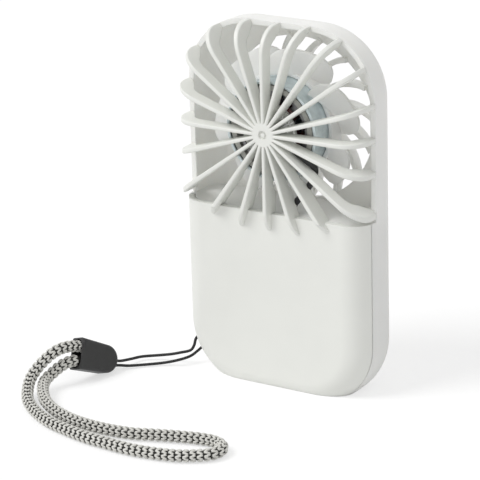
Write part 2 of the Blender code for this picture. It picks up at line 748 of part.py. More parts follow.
def front_cutters():
    """Holes for the socket, the button, the lamp, the lead and the cord."""
    outer = FRONT_FACE + OVERRUN
    slot = rounded(SOCKET_WIDTH + 2 * CLEARANCE, SOCKET_HEIGHT + 2 * CLEARANCE,
                   SOCKET_HEIGHT / 2 + CLEARANCE - ARC_GAP, (0.0, socket_middle()))
    lead_hole = LEAD_DIAMETER / 2 + CLEARANCE
    drill = tower(arc(LEAD_SHELF_X, -LEAD_SHELF_DEPTH, lead_hole, 0.0,
                      math.tau * (1 - 1 / SMALL_STEPS), SMALL_STEPS - 1),
                  SHELF_BOTTOM - OVERRUN, SHELF_TOP + OVERRUN)
    return [
        tower(slot, -OVERRUN, WALL + OVERRUN),
        disc(BUTTON_RADIUS + CLEARANCE, INNER_FRONT - EMBED, outer, z=BUTTON_HEIGHT, steps=ROUND_STEPS),
        disc(LAMP_RADIUS + CLEARANCE, INNER_FRONT - EMBED, outer, z=LAMP_HEIGHT),
        drill,
        lanyard_hole(-1),
        lanyard_hole(1),
    ]


def box(x, y, z):
    """Box from its three pairs of limits."""
    outline = ((x[0], z[0]), (x[1], z[0]), (x[1], z[1]), (x[0], z[1]))
    return plate(outline, y[0], y[1])


def make_front_shell(surface):
    """Walls, base, shelf and front grille, moulded in one."""
    start = -PARTING_DEPTH + SEAM
    shell = new_object("front_shell", housing_body(start, FRONT_FACE), surface)
    room = housing_body(start - OVERRUN, INNER_FRONT, WALL, WALL)
    wide = HALF_WIDTH + OVERRUN
    rim_cut = box((-wide, wide), (start - OVERRUN, -RIM_DEPTH), (SHELF_TOP, BODY_HEIGHT + OVERRUN))
    opening = disc(OPENING_RADIUS, INNER_FRONT - OVERRUN, FRONT_FACE + OVERRUN, z=HUB_HEIGHT,
                   steps=2 * ROUND_STEPS)
    combine(shell, "DIFFERENCE", guides("front_room", [room, rim_cut, opening]))
    swirls = [swirl_body(SWIRL_TURN + turn(number, SWIRL_COUNT)) for number in range(SWIRL_COUNT)]
    bosses = [screw_boss(x, z) for x, z in screw_places()]
    combine(shell, "UNION", guides("front_fill", swirls + bosses + [swirl_disc(), shelf_body()]))
    combine(shell, "DIFFERENCE", guides("front_holes", front_cutters()))
    return shell


# Motor

def make_bearings(surface, hub):
    """Tube in the hub's socket and a bearing near each of its ends."""
    bore = TUBE_RADIUS - TUBE_WALL
    tube = turned(ring_profile(bore, TUBE_RADIUS, TUBE_REAR, TUBE_FRONT), SMALL_STEPS)
    new_object("bearing_tube", tube, surface, hub)
    inner = SHAFT_RADIUS + CLEARANCE
    outer = bore - CLEARANCE
    rear = TUBE_REAR + BEARING_INSET
    front = TUBE_FRONT - BEARING_INSET
    places = {"bearing_rear": rear, "bearing_front": front - BEARING_LENGTH}
    for name, start in places.items():
        ring = turned(ring_profile(inner, outer, start, start + BEARING_LENGTH), SMALL_STEPS)
        new_object(name, ring, surface, hub)


def pole_angles():
    """Direction of each pole of the core."""
    return [POLE_TURN + turn(number, POLE_COUNT) for number in range(POLE_COUNT)]


def core_radii():
    """Bore, ring and shoe radii of the core, from the bearing tube outwards."""
    bore = TUBE_RADIUS + CLEARANCE + INSULATOR_WALL + CLEARANCE
    return bore, bore + CORE_RING, CORE_RADIUS - SHOE_THICKNESS


def core_outline():
    """Outer outline of the laminations, pole by pole."""
    _, ring, shoe = core_radii()
    half = POLE_WIDTH / 2
    points = []
    for angle in pole_angles():
        root = math.asin(half / ring)
        neck = math.asin(half / shoe)
        stations = [(ring, -root), (shoe, -neck), (shoe, -SHOE_HALF_ANGLE)]
        spread = [SHOE_HALF_ANGLE * (2 * step / FILLET_STEPS - 1) for step in range(FILLET_STEPS + 1)]
        stations += [(CORE_RADIUS, offset) for offset in spread]
        stations += [(shoe, SHOE_HALF_ANGLE), (shoe, neck), (ring, root)]
        points += [(r * math.cos(angle + a), r * math.sin(angle + a)) for r, a in stations]
    return points


def make_core(surface, hub):
    """Laminated core with shoes facing the magnet."""
    core = new_object("stator_core", plate(core_outline(), CORE_REAR, CORE_FRONT), surface, hub)
    bore = disc(core_radii()[0], CORE_REAR - OVERRUN, CORE_FRONT + OVERRUN)
    combine(core, "DIFFERENCE", guides("core_bore", [bore], hub))


def make_insulator(surface, hub):
    """Sleeve and flange between the tube and the core."""
    inner = TUBE_RADIUS + CLEARANCE
    outer = inner + INSULATOR_WALL
    rear = BOSS_FRONT + CLEARANCE
    step = rear + INSULATOR_FLANGE_THICKNESS
    profile = (
        (inner, rear), (INSULATOR_FLANGE, rear), (INSULATOR_FLANGE, step), (outer, step),
        (outer, CORE_FRONT + EMBED), (inner, CORE_FRONT + EMBED),
    )
    new_object("stator_insulator", turned(profile, SMALL_STEPS), surface, hub)


def coil_body():
    """Wound block with a hole for its pole, lying along X."""
    middle = (CORE_REAR + CORE_FRONT) / 2
    hole_width = POLE_WIDTH + 2 * CLEARANCE
    hole_depth = CORE_FRONT - CORE_REAR + 2 * CLEARANCE
    outer = rounded(hole_depth + 2 * COIL_END, hole_width + 2 * COIL_WALL, COIL_ROUND, (middle, 0.0))
    inner = rounded(hole_depth, hole_width, CLEARANCE, (middle, 0.0))
    start = COIL_INNER_RADIUS
    end = core_radii()[2] * math.cos(SHOE_HALF_ANGLE)
    mesh = bmesh.new()
    layers = []
    for x, outline in ((start, outer), (end, outer), (end, inner), (start, inner)):
        layers.append([mesh.verts.new((x, y, z)) for y, z in outline])
    for near, far in zip(layers, layers[1:] + layers[:1]):
        join_rings(mesh, near, far)
    return finished(mesh)


def make_windings(surface, hub):
    """One coil on each pole."""
    for number, angle in enumerate(pole_angles(), start=1):
        coil = moved(coil_body(), Matrix.Rotation(-angle, 4, "Y"))
        new_object(f"winding_{number}", coil, surface, hub)


def make_motor_board(surface, hub):
    """Small ring board round the boss."""
    front = BOSS_FRONT + BOARD_RING_GAP
    profile = ring_profile(BOSS_RADIUS + CLEARANCE, BOARD_RING_RADIUS, front - BOARD_RING_THICKNESS, front)
    new_object("motor_board", turned(profile, SMALL_STEPS), surface, hub)


def make_rotor(materials, hub):
    """Bell, magnet and shaft, which turn with the impeller."""
    bore = SHAFT_RADIUS + CLEARANCE
    inner = CAN_RADIUS - CAN_WALL
    plate_rear = CAN_FRONT - CAN_WALL
    bell = (
        (bore, plate_rear), (inner, plate_rear), (inner, CAN_REAR), (CAN_RADIUS, CAN_REAR),
        (CAN_RADIUS, CAN_FRONT - CAN_ROUND), (CAN_RADIUS - CAN_ROUND, CAN_FRONT), (bore, CAN_FRONT),
    )
    new_object("rotor_can", turned(bell), materials["steel"], hub)
    magnet = ring_profile(MAGNET_INNER, MAGNET_OUTER, MAGNET_REAR, MAGNET_FRONT)
    new_object("magnet_ring", turned(magnet), materials["magnet"], hub)
    narrow = SHAFT_RADIUS - SHAFT_CHAMFER
    shaft = (
        (0.0, TUBE_REAR), (narrow, TUBE_REAR), (SHAFT_RADIUS, TUBE_REAR + SHAFT_CHAMFER),
        (SHAFT_RADIUS, SHAFT_FRONT - SHAFT_CHAMFER), (narrow, SHAFT_FRONT), (0.0, SHAFT_FRONT),
    )
    new_object("motor_shaft", turned(shaft, SMALL_STEPS), materials["steel"], hub)


# Impeller

def blade_point(chord, span, face):
    """Point of a blade: chord from -1 rear to 1 front, span from 0 root to 1 tip, face -1 or 1."""
    swell = math.sqrt(1 - BLADE_PETAL_SHARE * chord ** 4)
    radius = BLADE_ROOT_RADIUS + (BLADE_TIP_RADIUS - BLADE_ROOT_RADIUS) * span * swell
    angle = BLADE_TURN - chord * BLADE_HALF_ANGLE
    y = chord * BLADE_HALF_DEPTH + BLADE_CAMBER * (1 - chord ** 2)
    sweep = radius * BLADE_HALF_ANGLE
    length = math.hypot(sweep, BLADE_HALF_DEPTH)
    half = face * BLADE_THICKNESS / 2 * (1 - BLADE_TAPER_SHARE * chord ** 2)
    y += half * sweep / length
    angle += half * BLADE_HALF_DEPTH / length / radius
    return Vector((radius * math.cos(angle), y, radius * math.sin(angle)))


def blade_body(angle):
    """One blade, as a closed section swept from its root to its tip."""
    chords = [2 * step / BLADE_CHORD_STEPS - 1 for step in range(BLADE_CHORD_STEPS + 1)]
    section = [(c, 1) for c in chords] + [(c, -1) for c in reversed(chords)]
    rings = []
    for step in range(BLADE_SPAN_STEPS + 1):
        span = step / BLADE_SPAN_STEPS
        rings.append([blade_point(chord, span, face) for chord, face in section])
    return moved(loft(rings, bent=True), Matrix.Rotation(-angle, 4, "Y"))


def make_impeller(surface, hub):
    """Sleeve over the bell with seven broad blades."""
    inner = CAN_RADIUS + CLEARANCE
    cap_rear = SLEEVE_FRONT - CAP_THICKNESS
    bore = SHAFT_RADIUS + CLEARANCE
    boss_rear = CAN_FRONT + CLEARANCE
    profile = (
        (0.0, SHAFT_FRONT + CLEARANCE), (0.0, SLEEVE_FRONT), (SLEEVE_RADIUS - SLEEVE_ROUND, SLEEVE_FRONT),
        (SLEEVE_RADIUS, SLEEVE_FRONT - SLEEVE_ROUND), (SLEEVE_RADIUS, SLEEVE_REAR), (inner, SLEEVE_REAR),
        (inner, cap_rear), (SHAFT_BOSS_RADIUS, cap_rear), (SHAFT_BOSS_RADIUS, boss_rear),
        (bore, boss_rear), (bore, SHAFT_FRONT + CLEARANCE),
    )
    impeller = new_object("impeller", turned(profile), surface, hub)
    blades = [blade_body(turn(number, BLADE_COUNT)) for number in range(BLADE_COUNT)]
    combine(impeller, "UNION", guides("blades", blades, hub))


# Battery room

def make_battery(materials):
    """Flat cell with the foam pad in front of it."""
    centre = (0.0, BATTERY_BOTTOM + BATTERY_LENGTH / 2)
    cell = plate(rounded(BATTERY_WIDTH, BATTERY_LENGTH, BATTERY_ROUND, centre), BATTERY_REAR, BATTERY_FRONT)
    new_object("battery_cell", cell, materials["battery"])
    pad_centre = (0.0, (PAD_BOTTOM + PAD_TOP) / 2)
    pad_outline = rounded(PAD_WIDTH, PAD_TOP - PAD_BOTTOM, BATTERY_ROUND, pad_centre)
    pad = plate(pad_outline, BATTERY_FRONT + CLEARANCE, BOARD_REAR - CLEARANCE)
    new_object("battery_pad", pad, materials["foam"])


def make_main_board(surface):
    """Charging board with two screw holes."""
    centre = (0.0, (BOARD_BOTTOM + BOARD_TOP) / 2)
    outline = rounded(BOARD_WIDTH, BOARD_TOP - BOARD_BOTTOM, BOARD_CORNER, centre)
    board = new_object("main_board", plate(outline, BOARD_REAR, BOARD_FRONT), surface)
    hole = SCREW_RADIUS + CLEARANCE
    holes = [disc(hole, BOARD_REAR - OVERRUN, BOARD_FRONT + OVERRUN, x, z) for x, z in screw_places()]
    combine(board, "DIFFERENCE", guides("board_holes", holes))


def make_board_screws(surface):
    """Two pan-head screws that hold the board to its bosses."""
    seat = BOARD_REAR - CLEARANCE
    head = seat - SCREW_HEAD_THICKNESS
    profile = (
        (0.0, head), (SCREW_HEAD_RADIUS, head), (SCREW_HEAD_RADIUS, seat),
        (SCREW_RADIUS, seat), (SCREW_RADIUS, seat + SCREW_LENGTH), (0.0, seat + SCREW_LENGTH),
    )
    for number, (x, z) in enumerate(screw_places(), start=1):
        new_object(f"board_screw_{number}", turned(profile, SMALL_STEPS), surface, place=(x, 0, z))


def socket_middle():
    """Depth of the charging socket's middle, just behind the board."""
    return BOARD_REAR - CLEARANCE - SOCKET_HEIGHT / 2


def make_socket(surface):
    """Charging socket over the slot in the base, with its tongue."""
    middle = socket_middle()
    round_radius = SOCKET_HEIGHT / 2 - ARC_GAP
    outer = rounded(SOCKET_WIDTH, SOCKET_HEIGHT, round_radius, (0.0, middle))
    shell = tower(outer, SOCKET_BOTTOM, SOCKET_BOTTOM + SOCKET_LENGTH)
    socket = new_object("usb_port", shell, surface)
    inner = rounded(SOCKET_WIDTH - 2 * SOCKET_WALL, SOCKET_HEIGHT - 2 * SOCKET_WALL,
                    round_radius - SOCKET_WALL, (0.0, middle))
    pocket = tower(inner, SOCKET_BOTTOM - OVERRUN, SOCKET_BOTTOM + SOCKET_POCKET)
    combine(socket, "DIFFERENCE", guides("socket_pocket", [pocket]))
    half = TONGUE_WIDTH / 2
    thin = TONGUE_THICKNESS / 2
    tongue = box((-half, half), (middle - thin, middle + thin),
                 (SOCKET_BOTTOM + SOCKET_WALL, SOCKET_BOTTOM + SOCKET_POCKET + EMBED))
    combine(socket, "UNION", guides("socket_tongue", [tongue]))


def make_switch(surface):
    """Press switch on the board, with a pocket for its plunger."""
    outline = rounded(SWITCH_WIDTH, SWITCH_WIDTH, SWITCH_ROUND, (0.0, BUTTON_HEIGHT))
    switch = new_object("tact_switch", plate(outline, SWITCH_REAR, SWITCH_FRONT), surface)
    pocket = disc(PLUNGER_RADIUS + CLEARANCE, SWITCH_FRONT - PLUNGER_POCKET, SWITCH_FRONT + OVERRUN,
                  z=BUTTON_HEIGHT)
    combine(switch, "DIFFERENCE", guides("switch_pocket", [pocket]))


def make_button(materials, axis):
    """Key with a flange behind the front wall and a stem over the plunger."""
    flange = BUTTON_RADIUS + BUTTON_FLANGE
    flange_rear = FLANGE_FRONT - BUTTON_FLANGE_THICKNESS
    face = FRONT_FACE + BUTTON_PROUD
    profile = (
        (0.0, STEM_REAR), (BUTTON_STEM_RADIUS, STEM_REAR), (BUTTON_STEM_RADIUS, flange_rear),
        (flange, flange_rear), (flange, FLANGE_FRONT), (BUTTON_RADIUS, FLANGE_FRONT),
        (BUTTON_RADIUS, face - BUTTON_ROUND), (BUTTON_RADIUS - BUTTON_ROUND, face), (0.0, face),
    )
    new_object("power_button", turned(profile), materials["button"], axis)
    plunger = disc(PLUNGER_RADIUS, PLUNGER_REAR, PLUNGER_FRONT)
    new_object("switch_plunger", plunger, materials["black_plastic"], axis)


def make_lamp(surface):
    """Light pipe from the lamp on the board to the front face."""
    flange = LAMP_RADIUS + LAMP_FLANGE
    flange_rear = FLANGE_FRONT - BUTTON_FLANGE_THICKNESS
    face = FRONT_FACE + LAMP_PROUD
    profile = (
        (0.0, SWITCH_REAR), (LAMP_RADIUS, SWITCH_REAR), (LAMP_RADIUS, flange_rear), (flange, flange_rear),
        (flange, FLANGE_FRONT), (LAMP_RADIUS, FLANGE_FRONT), (LAMP_RADIUS, face), (0.0, face),
    )
    new_object("charge_lamp", turned(profile, SMALL_STEPS), surface, place=(0, 0, LAMP_HEIGHT))


# Flexible runs

def smooth_point(points, share):
    """Point on the smooth curve through four route points."""
    before, first, second, after = points
    linear = (second - before) * share
    square = (before * 2 - first * 5 + second * 4 - after) * share ** 2
    cube = (first * 3 - before - second * 3 + after) * share ** 3
    return (first * 2 + linear + square + cube) / 2


def smooth_route(route, step, start):
    """Even steps along a smooth curve through the chosen points, counted from a start."""
    points = [Vector(point) * MM + Vector(start) for point in route]
    points = [points[0] * 2 - points[1]] + points + [points[-1] * 2 - points[-2]]
    fine = []
    for number in range(1, len(points) - 2):
        for sample in range(CURVE_SAMPLES):
            fine.append(smooth_point(points[number - 1:number + 3], sample / CURVE_SAMPLES))
    fine.append(points[-2])
    travelled = [0.0]
    for near, far in zip(fine, fine[1:]):
        travelled.append(travelled[-1] + (far - near).length)
    count = max(2, round(travelled[-1] / step))
    result = []
    place = 0
    for number in range(count):
        goal = travelled[-1] * number / count
        while travelled[place + 1] < goal:
            place += 1
        share = (goal - travelled[place]) / (travelled[place + 1] - travelled[place])
        result.append(fine[place].lerp(fine[place + 1], share))
    return result + [fine[-1]]


def lead_route():
    """The motor lead's points, first beside the motor, then through the shelf."""
    bell_rear = CAN_REAR / MM
    beside_motor = tuple((x, y + bell_rear, z) for x, y, z in LEAD_MOTOR_ROUTE)
    return beside_motor + LEAD_SHELF_ROUTE


def make_run(name, route, diameter, step, surface, start=(0.0, 0.0, 0.0)):
    """Round cord along its route, whose points are counted from a start."""
    curve = bpy.data.curves.new(name, "CURVE")
    curve.dimensions = "3D"
    curve.bevel_depth = diameter / 2
    curve.bevel_resolution = 2
    curve.use_fill_caps = True
    spline = curve.splines.new("POLY")
    points = smooth_route(route, step, start)
    spline.points.add(len(points) - 1)
    for target, point in zip(spline.points, points):
        target.co = (*point, 1.0)
    curve.materials.append(surface)
    bpy.context.scene.collection.objects.link(bpy.data.objects.new(name, curve))


def clip_matrix():
    """Place and lie of the clip: X along its length, Y across its width, Z out of its face."""
    along = Vector((math.cos(CLIP_SLOPE) * math.cos(CLIP_AZIMUTH),
                    math.cos(CLIP_SLOPE) * math.sin(CLIP_AZIMUTH), -math.sin(CLIP_SLOPE)))
    side = Vector((math.sin(CLIP_AZIMUTH), -math.cos(CLIP_AZIMUTH), 0.0))
    up = side.cross(along)
    face = side * math.cos(CLIP_ROLL) + up * math.sin(CLIP_ROLL)
    width = face.cross(along)
    turn_matrix = Matrix((along, width, face)).transposed().to_4x4()
    return Matrix.Translation(CLIP_MOUTH) @ turn_matrix


def clip_outline(inset):
    """Clip seen on its face: square mouth, slight taper and a round tip."""
    radius = CLIP_TIP_RADIUS - inset
    tip = CLIP_LENGTH - CLIP_TIP_RADIUS
    half = CLIP_MOUTH_WIDTH / 2 - inset
    quarter = math.pi / 2
    return [(0.0, -half)] + arc(tip, 0.0, radius, -quarter, quarter, CORNER_STEPS) + [(0.0, half)]


def make_clip(surface):
    """Clip with a pocket for both ends of the strap and a hole for the cord."""
    half = CLIP_THICKNESS / 2
    levels = ((-half, CLIP_ROUND), (CLIP_ROUND - half, 0.0), (half - CLIP_ROUND, 0.0), (half, CLIP_ROUND))
    body = loft([[(x, y, z) for x, y in clip_outline(inset)] for z, inset in levels])
    clip = new_object("strap_clip", body, surface)
    clip.matrix_world = clip_matrix()
    hole = STRAP_DIAMETER + 2 * CLEARANCE
    outline = rounded(2 * STRAP_OFFSET + hole, hole, hole / 2 - ARC_GAP)
    pocket = loft([[(x, y, z) for y, z in outline] for x in (-OVERRUN, CLIP_POCKET_DEPTH)])
    slot_length = abs(CORD_PLACES[1] - CORD_PLACES[0]) + 2 * CORD_HOLE_RADIUS
    slot_middle = (CORD_PLACES[0] + CORD_PLACES[1]) / 2
    slot_outline = rounded(slot_length, 2 * CORD_HOLE_RADIUS, CORD_HOLE_RADIUS - ARC_GAP, (slot_middle, 0.0))
    ends = (CLIP_LENGTH - CORD_HOLE_DEPTH, CLIP_LENGTH + OVERRUN)
    slot = loft([[(x, y, z) for y, z in slot_outline] for x in ends])
    cutters = guides("clip_holes", [pocket, slot])
    for cutter in cutters.objects:
        cutter.matrix_world = clip_matrix()
    combine(clip, "DIFFERENCE", cutters)


def clear_scene():
    """Start from an empty scene."""
    for item in list(bpy.data.objects):
        bpy.data.objects.remove(item, do_unlink=True)


def main():
    """Build every piece of the fan."""
    clear_scene()
    materials = make_materials()
    hub = new_empty("hub_axis", (0, 0, HUB_HEIGHT))
    button_axis = new_empty("button_axis", (0, 0, BUTTON_HEIGHT))
    make_rear_shell(materials["white_shell"])
    make_front_shell(materials["white_shell"])
    make_bearings(materials["brass"], hub)
    make_core(materials["laminate"], hub)
    make_insulator(materials["black_plastic"], hub)
    make_windings(materials["copper"], hub)
    make_motor_board(materials["board"], hub)
    make_rotor(materials, hub)
    make_impeller(materials["white_blade"], hub)
    make_battery(materials)
    make_main_board(materials["board"])
    make_board_screws(materials["steel"])
    make_socket(materials["steel"])
    make_switch(materials["black_plastic"])
    make_button(materials, button_axis)
    make_lamp(materials["lamp"])
    make_run("motor_lead", lead_route(), LEAD_DIAMETER, LEAD_STEP, materials["black_plastic"],
             (0, 0, HUB_HEIGHT))
    make_run("lanyard_cord", CORD_ROUTE, CORD_DIAMETER, CORD_STEP, materials["cord"])
    make_run("wrist_strap", STRAP_ROUTE, STRAP_DIAMETER, STRAP_STEP, materials["strap"])
    make_clip(materials["clip"])


main()
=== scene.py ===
"""Pocket fan with moulded half shells, a wound motor, a seven-blade impeller and a knitted wrist strap,
made round the packed solids and set on a plain pale floor."""

import json
from math import asin, cos, hypot, pi, radians, sin, sqrt, tan, tau

import bmesh
import bpy
from bpy.props import FloatProperty, FloatVectorProperty, IntProperty, PointerProperty
from bpy.types import Operator, Panel, PropertyGroup
from mathutils import Matrix, Vector

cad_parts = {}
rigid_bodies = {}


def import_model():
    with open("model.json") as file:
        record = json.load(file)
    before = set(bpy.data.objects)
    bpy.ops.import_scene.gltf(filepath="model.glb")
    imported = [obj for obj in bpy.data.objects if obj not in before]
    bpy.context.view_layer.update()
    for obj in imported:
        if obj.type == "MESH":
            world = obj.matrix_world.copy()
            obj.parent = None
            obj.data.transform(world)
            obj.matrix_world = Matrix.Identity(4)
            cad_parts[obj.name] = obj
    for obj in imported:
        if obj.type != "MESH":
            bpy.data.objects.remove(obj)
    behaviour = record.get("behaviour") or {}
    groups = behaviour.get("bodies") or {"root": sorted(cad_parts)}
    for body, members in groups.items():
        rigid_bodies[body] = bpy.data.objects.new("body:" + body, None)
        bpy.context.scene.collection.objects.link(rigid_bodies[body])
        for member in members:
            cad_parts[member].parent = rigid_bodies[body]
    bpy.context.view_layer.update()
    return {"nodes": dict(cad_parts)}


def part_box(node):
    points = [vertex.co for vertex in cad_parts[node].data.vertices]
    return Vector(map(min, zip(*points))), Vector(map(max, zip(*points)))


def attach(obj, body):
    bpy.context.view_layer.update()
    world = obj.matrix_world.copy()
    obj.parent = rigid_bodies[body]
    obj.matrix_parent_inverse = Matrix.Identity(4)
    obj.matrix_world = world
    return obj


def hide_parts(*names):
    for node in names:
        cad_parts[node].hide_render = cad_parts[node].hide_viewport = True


bl_info = {
    "name": "Pocket Fan",
    "version": (1, 0, 0),
    "blender": (4, 5, 0),
    "location": "View3D > Sidebar > Pocket Fan",
    "description": "Shells, blades, motor, strap and stage of a pocket fan",
    "category": "Object",
}

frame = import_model()

MM = 0.001
SMOOTH_ANGLE = radians(32.0)
WIDE_SMOOTH_ANGLE = radians(40.0)

# Housing details
PARTING_DEPTH = 4.5 * MM
RIM_DEPTH = 2.4 * MM
SEAM = 0.25 * MM
CLEARANCE = 0.3 * MM
OVERRUN = 1.0 * MM
EMBED = 0.2 * MM
LEVEL_GAP = 0.05 * MM
SHELF_THICKNESS = 1.5 * MM
RIB_START = 3.05 * MM
RIB_HUB_DEPTH = 3.9 * MM
RIB_INNER_FILLET = 3.2 * MM
FOOT_GAP = 0.1 * MM
PANEL_RIB_HALF_ANGLE = radians(45.0)
HUB_DISC_RADIUS = 3.3 * MM
HUB_EDGE_ROUND = 0.3 * MM
DIMPLE_RADIUS = 1.2 * MM
DIMPLE_DEPTH = 0.55 * MM
DIMPLE_PIN = 0.6 * MM
DIMPLE_PIN_DEPTH = 0.15 * MM
DIMPLE_SLOPE = 0.1 * MM
BOSS_BORE = 2.9 * MM
BOSS_RADIUS = 3.7 * MM
BOSS_DEPTH = 7.7 * MM
PANEL_RIB_EXTRA = 1.2 * MM
PANEL_RIB_REACH = (14.8 * MM, 16.5 * MM)
HUB_FLOOR = 2.0 * MM
BOSS_ROOT_DEPTH = 10.3 * MM
SWIRL_RIM_DEPTH = 2.4 * MM
SWIRL_ROOT = 0.5 * MM
SWIRL_DISC_THICKNESS = 1.5 * MM
SWIRL_INNER_SLANT = radians(4.0)
SWIRL_OUTER_SLANT = radians(42.0)
SWIRL_TURN = radians(5.0)
SWIRL_ROUND = 0.3 * MM
DOME_SHARES = (0.2, 0.4, 0.6, 0.8, 0.92)

# Motor
POLE_COUNT = 6
POLE_TURN = radians(-15.0)
CORE_REAR = -6.4 * MM
CORE_FRONT = -1.6 * MM
COIL_START = 5.3 * MM
COIL_END_X = 8.95 * MM
COIL_HALF_WIDTH = 1.1 * MM
COIL_ROUND_SHARE = 0.7
COIL_CORNER_STEPS = 4
WIRE_DIAMETER = 0.4 * MM
WIRE_TURNS = 8
WIRE_LAYERS = 2
WIRE_SIDES = 6
CAN_RADIUS = 13.6 * MM
CAN_WALL = 0.85 * MM
CAN_REAR = -7.6 * MM
CAN_FRONT = 1.0 * MM
CAN_ROUND = 0.4 * MM
CAN_BORE = 1.05 * MM

# Impeller details
BLADE_HALF_ANGLE = radians(27.0)
BLADE_CAMBER = 0.6 * MM
BLADE_TAPER_SHARE = 0.5
BLADE_TIP_SHARE = 0.35
BLADE_PETAL_SHARE = 0.85
SLEEVE_RADIUS = 14.7 * MM
SLEEVE_REAR = -1.0 * MM
SLEEVE_FRONT = 4.8 * MM
SLEEVE_ROUND = 0.5 * MM
BELL_GAP = 0.14 * MM
CAP_THICKNESS = 1.0 * MM
SHAFT_FRONT = 3.4 * MM
SHAFT_BOSS_RADIUS = 2.4 * MM

# Socket, screws and key
SOCKET_WIDTH = 9.0 * MM
SOCKET_HEIGHT = 2.9 * MM
SOCKET_MIDDLE = 1.65 * MM
SLOT_FLAT = 0.003 * MM
SCREW_PLACES = ((-11.5 * MM, 38.0 * MM), (11.5 * MM, 38.0 * MM))
SCREW_BOSS_RADIUS = 2.2 * MM
SCREW_BORE = 1.1 * MM
SCREW_BORE_DEPTH = 7.3 * MM
SCREW_BOSS_REAR = 4.9 * MM
LAMP_HEIGHT = 22.0 * MM
LAMP_RADIUS = 1.0 * MM
LEAD_SHELF = (5.5 * MM, -5.7 * MM)
LANYARD_ANGLE = radians(206.0)
LANYARD_HALF_PITCH = 1.75 * MM
LANYARD_HOLE_RADIUS = 0.8 * MM
LANYARD_DEPTH = 3.1 * MM
BUTTON_HEIGHT = 33.0 * MM
BUTTON_RADIUS = 4.8 * MM
BUTTON_PROUD = 0.6 * MM
BUTTON_FLANGE = 1.0 * MM
BUTTON_FLANGE_REAR = 7.0 * MM
BUTTON_FLANGE_FRONT = 7.6 * MM
BUTTON_STEM_RADIUS = 1.5 * MM
BUTTON_STEM_REAR = 6.6 * MM
BUTTON_DISH = 0.25 * MM
DISH_SHARES = (0.92, 0.75, 0.5, 0.25)
BUTTON_ROUND = 0.5 * MM

# Clip, in its own frame: length along X, width along Y
CLIP_MOUTH = Vector((-49.72 * MM, -30.42 * MM, 7.94 * MM))
CLIP_AZIMUTH = radians(68.0)
CLIP_SLOPE = radians(24.8)
CLIP_ROLL = radians(20.0)
CLIP_LENGTH = 12.8 * MM
CLIP_MOUTH_WIDTH = 8.8 * MM
CLIP_TIP_RADIUS = 3.9 * MM
CLIP_THICKNESS = 4.9 * MM
CLIP_ROUND = 0.7 * MM
CLIP_TIP_STEPS = 24
CLIP_POCKET_DEPTH = 3.4 * MM
STRAP_OFFSET = 1.95 * MM
CORD_HOLE_DEPTH = 1.2 * MM
CORD_HOLE_RADIUS = 0.7 * MM
CORD_PLACES = (0.47 * MM, -0.92 * MM)
NEARLY_ROUND = 0.999

# Flexible runs, with their routes in millimetres
STRAP_ROUTE = (
    (-49.05, -26.98, 8.64), (-50.35, -30.25, 9.9), (-51.5, -33.6, 10.5), (-52.8, -36.7, 9.9),
    (-54.1, -39.3, 8.3), (-55.1, -41.7, 6.4), (-55.1, -44.6, 4.6), (-53.4, -48.3, 3.2),
    (-50.0, -52.7, 2.2), (-44.4, -57.0, 1.8), (-37.4, -60.7, 1.8), (-30.6, -62.7, 1.8),
    (-23.2, -64.3, 1.8), (-16.1, -64.9, 1.8), (-8.7, -65.2, 1.8), (-2.2, -64.4, 1.8),
    (3.7, -62.9, 1.8), (8.6, -60.2, 1.8), (11.3, -57.6, 1.8), (11.9, -54.4, 1.8),
    (10.1, -51.8, 1.8), (6.7, -50.8, 1.8), (2.6, -51.3, 1.8), (-2.9, -52.8, 1.8), (-8.7, -54.8, 1.8),
    (-14.4, -56.8, 1.8), (-21.1, -57.6, 1.8), (-28.0, -57.4, 1.8), (-34.3, -56.2, 1.8),
    (-40.2, -54.1, 2.0), (-45.6, -50.8, 2.3), (-49.9, -46.2, 2.6), (-52.9, -41.1, 3.1),
    (-52.4, -37.7, 4.6), (-51.0, -34.8, 6.1), (-49.6, -31.8, 6.4), (-48.28, -28.64, 5.19),
)
CORD_DIAMETER = 0.8 * MM
CORD_ROUTE = (
    (-45.39, -20.36, 3.25), (-44.85, -19.0, 2.73), (-44.4, -17.2, 2.1), (-43.6, -13.5, 1.5),
    (-42.2, -10.0, 1.25), (-38.0, -7.3, 1.5), (-34.5, -6.8, 2.3), (-31.5, -6.7, 3.3),
    (-28.9, -5.7, 4.1), (-28.2, -4.8, 5.4), (-28.2, -3.9, 6.9), (-27.6, -3.3, 7.95),
    (-26.57, -3.1, 8.5), (-24.7, -3.1, 8.95), (-23.64, -3.1, 8.1), (-23.56, -3.1, 6.81),
    (-24.95, -3.1, 5.62), (-26.5, -3.25, 4.75), (-27.6, -4.1, 3.6), (-28.8, -5.9, 2.5),
    (-30.8, -8.4, 1.9), (-34.6, -10.1, 0.9), (-38.8, -13.4, 0.7), (-42.0, -16.6, 0.9),
    (-43.9, -18.4, 1.3), (-44.77, -20.09, 1.68), (-45.12, -20.95, 2.02),
)
LEAD_DIAMETER = 1.8 * MM
LEAD_ROUTE = (
    (7.57, -8.4, 67.94), (9.8, -8.7, 66.81), (11.89, -8.8, 65.61), (12.7, -8.1, 64.66),
    (12.98, -7.2, 63.58), (12.69, -6.7, 61.95), (11.76, -6.5, 59.64), (10.01, -6.5, 56.96),
    (7.81, -6.45, 54.26), (6.0, -6.2, 52.2), (5.5, -5.75, 50.3), (5.5, -5.7, 48.4), (5.5, -4.9, 46.7),
    (5.5, -3.2, 45.9), (5.5, -1.0, 45.3), (5.5, 0.5, 44.0), (5.5, 1.8, 43.1), (5.5, 3.0, 42.9),
)
CURVE_SAMPLES = 14
LINE_STEP = 0.25 * MM
END_GUARD = 0.001
CORD_SIDES = 12
LEAD_SIDES = 16
# Dark core tube under the stitches, whose colour paints the shade in the gaps between them
SHADE_CORE_SHARE = 0.68
SHADE_CORE_SIDES = 16
YARN_SIDES = 6
YARN_FLATNESS = 0.42

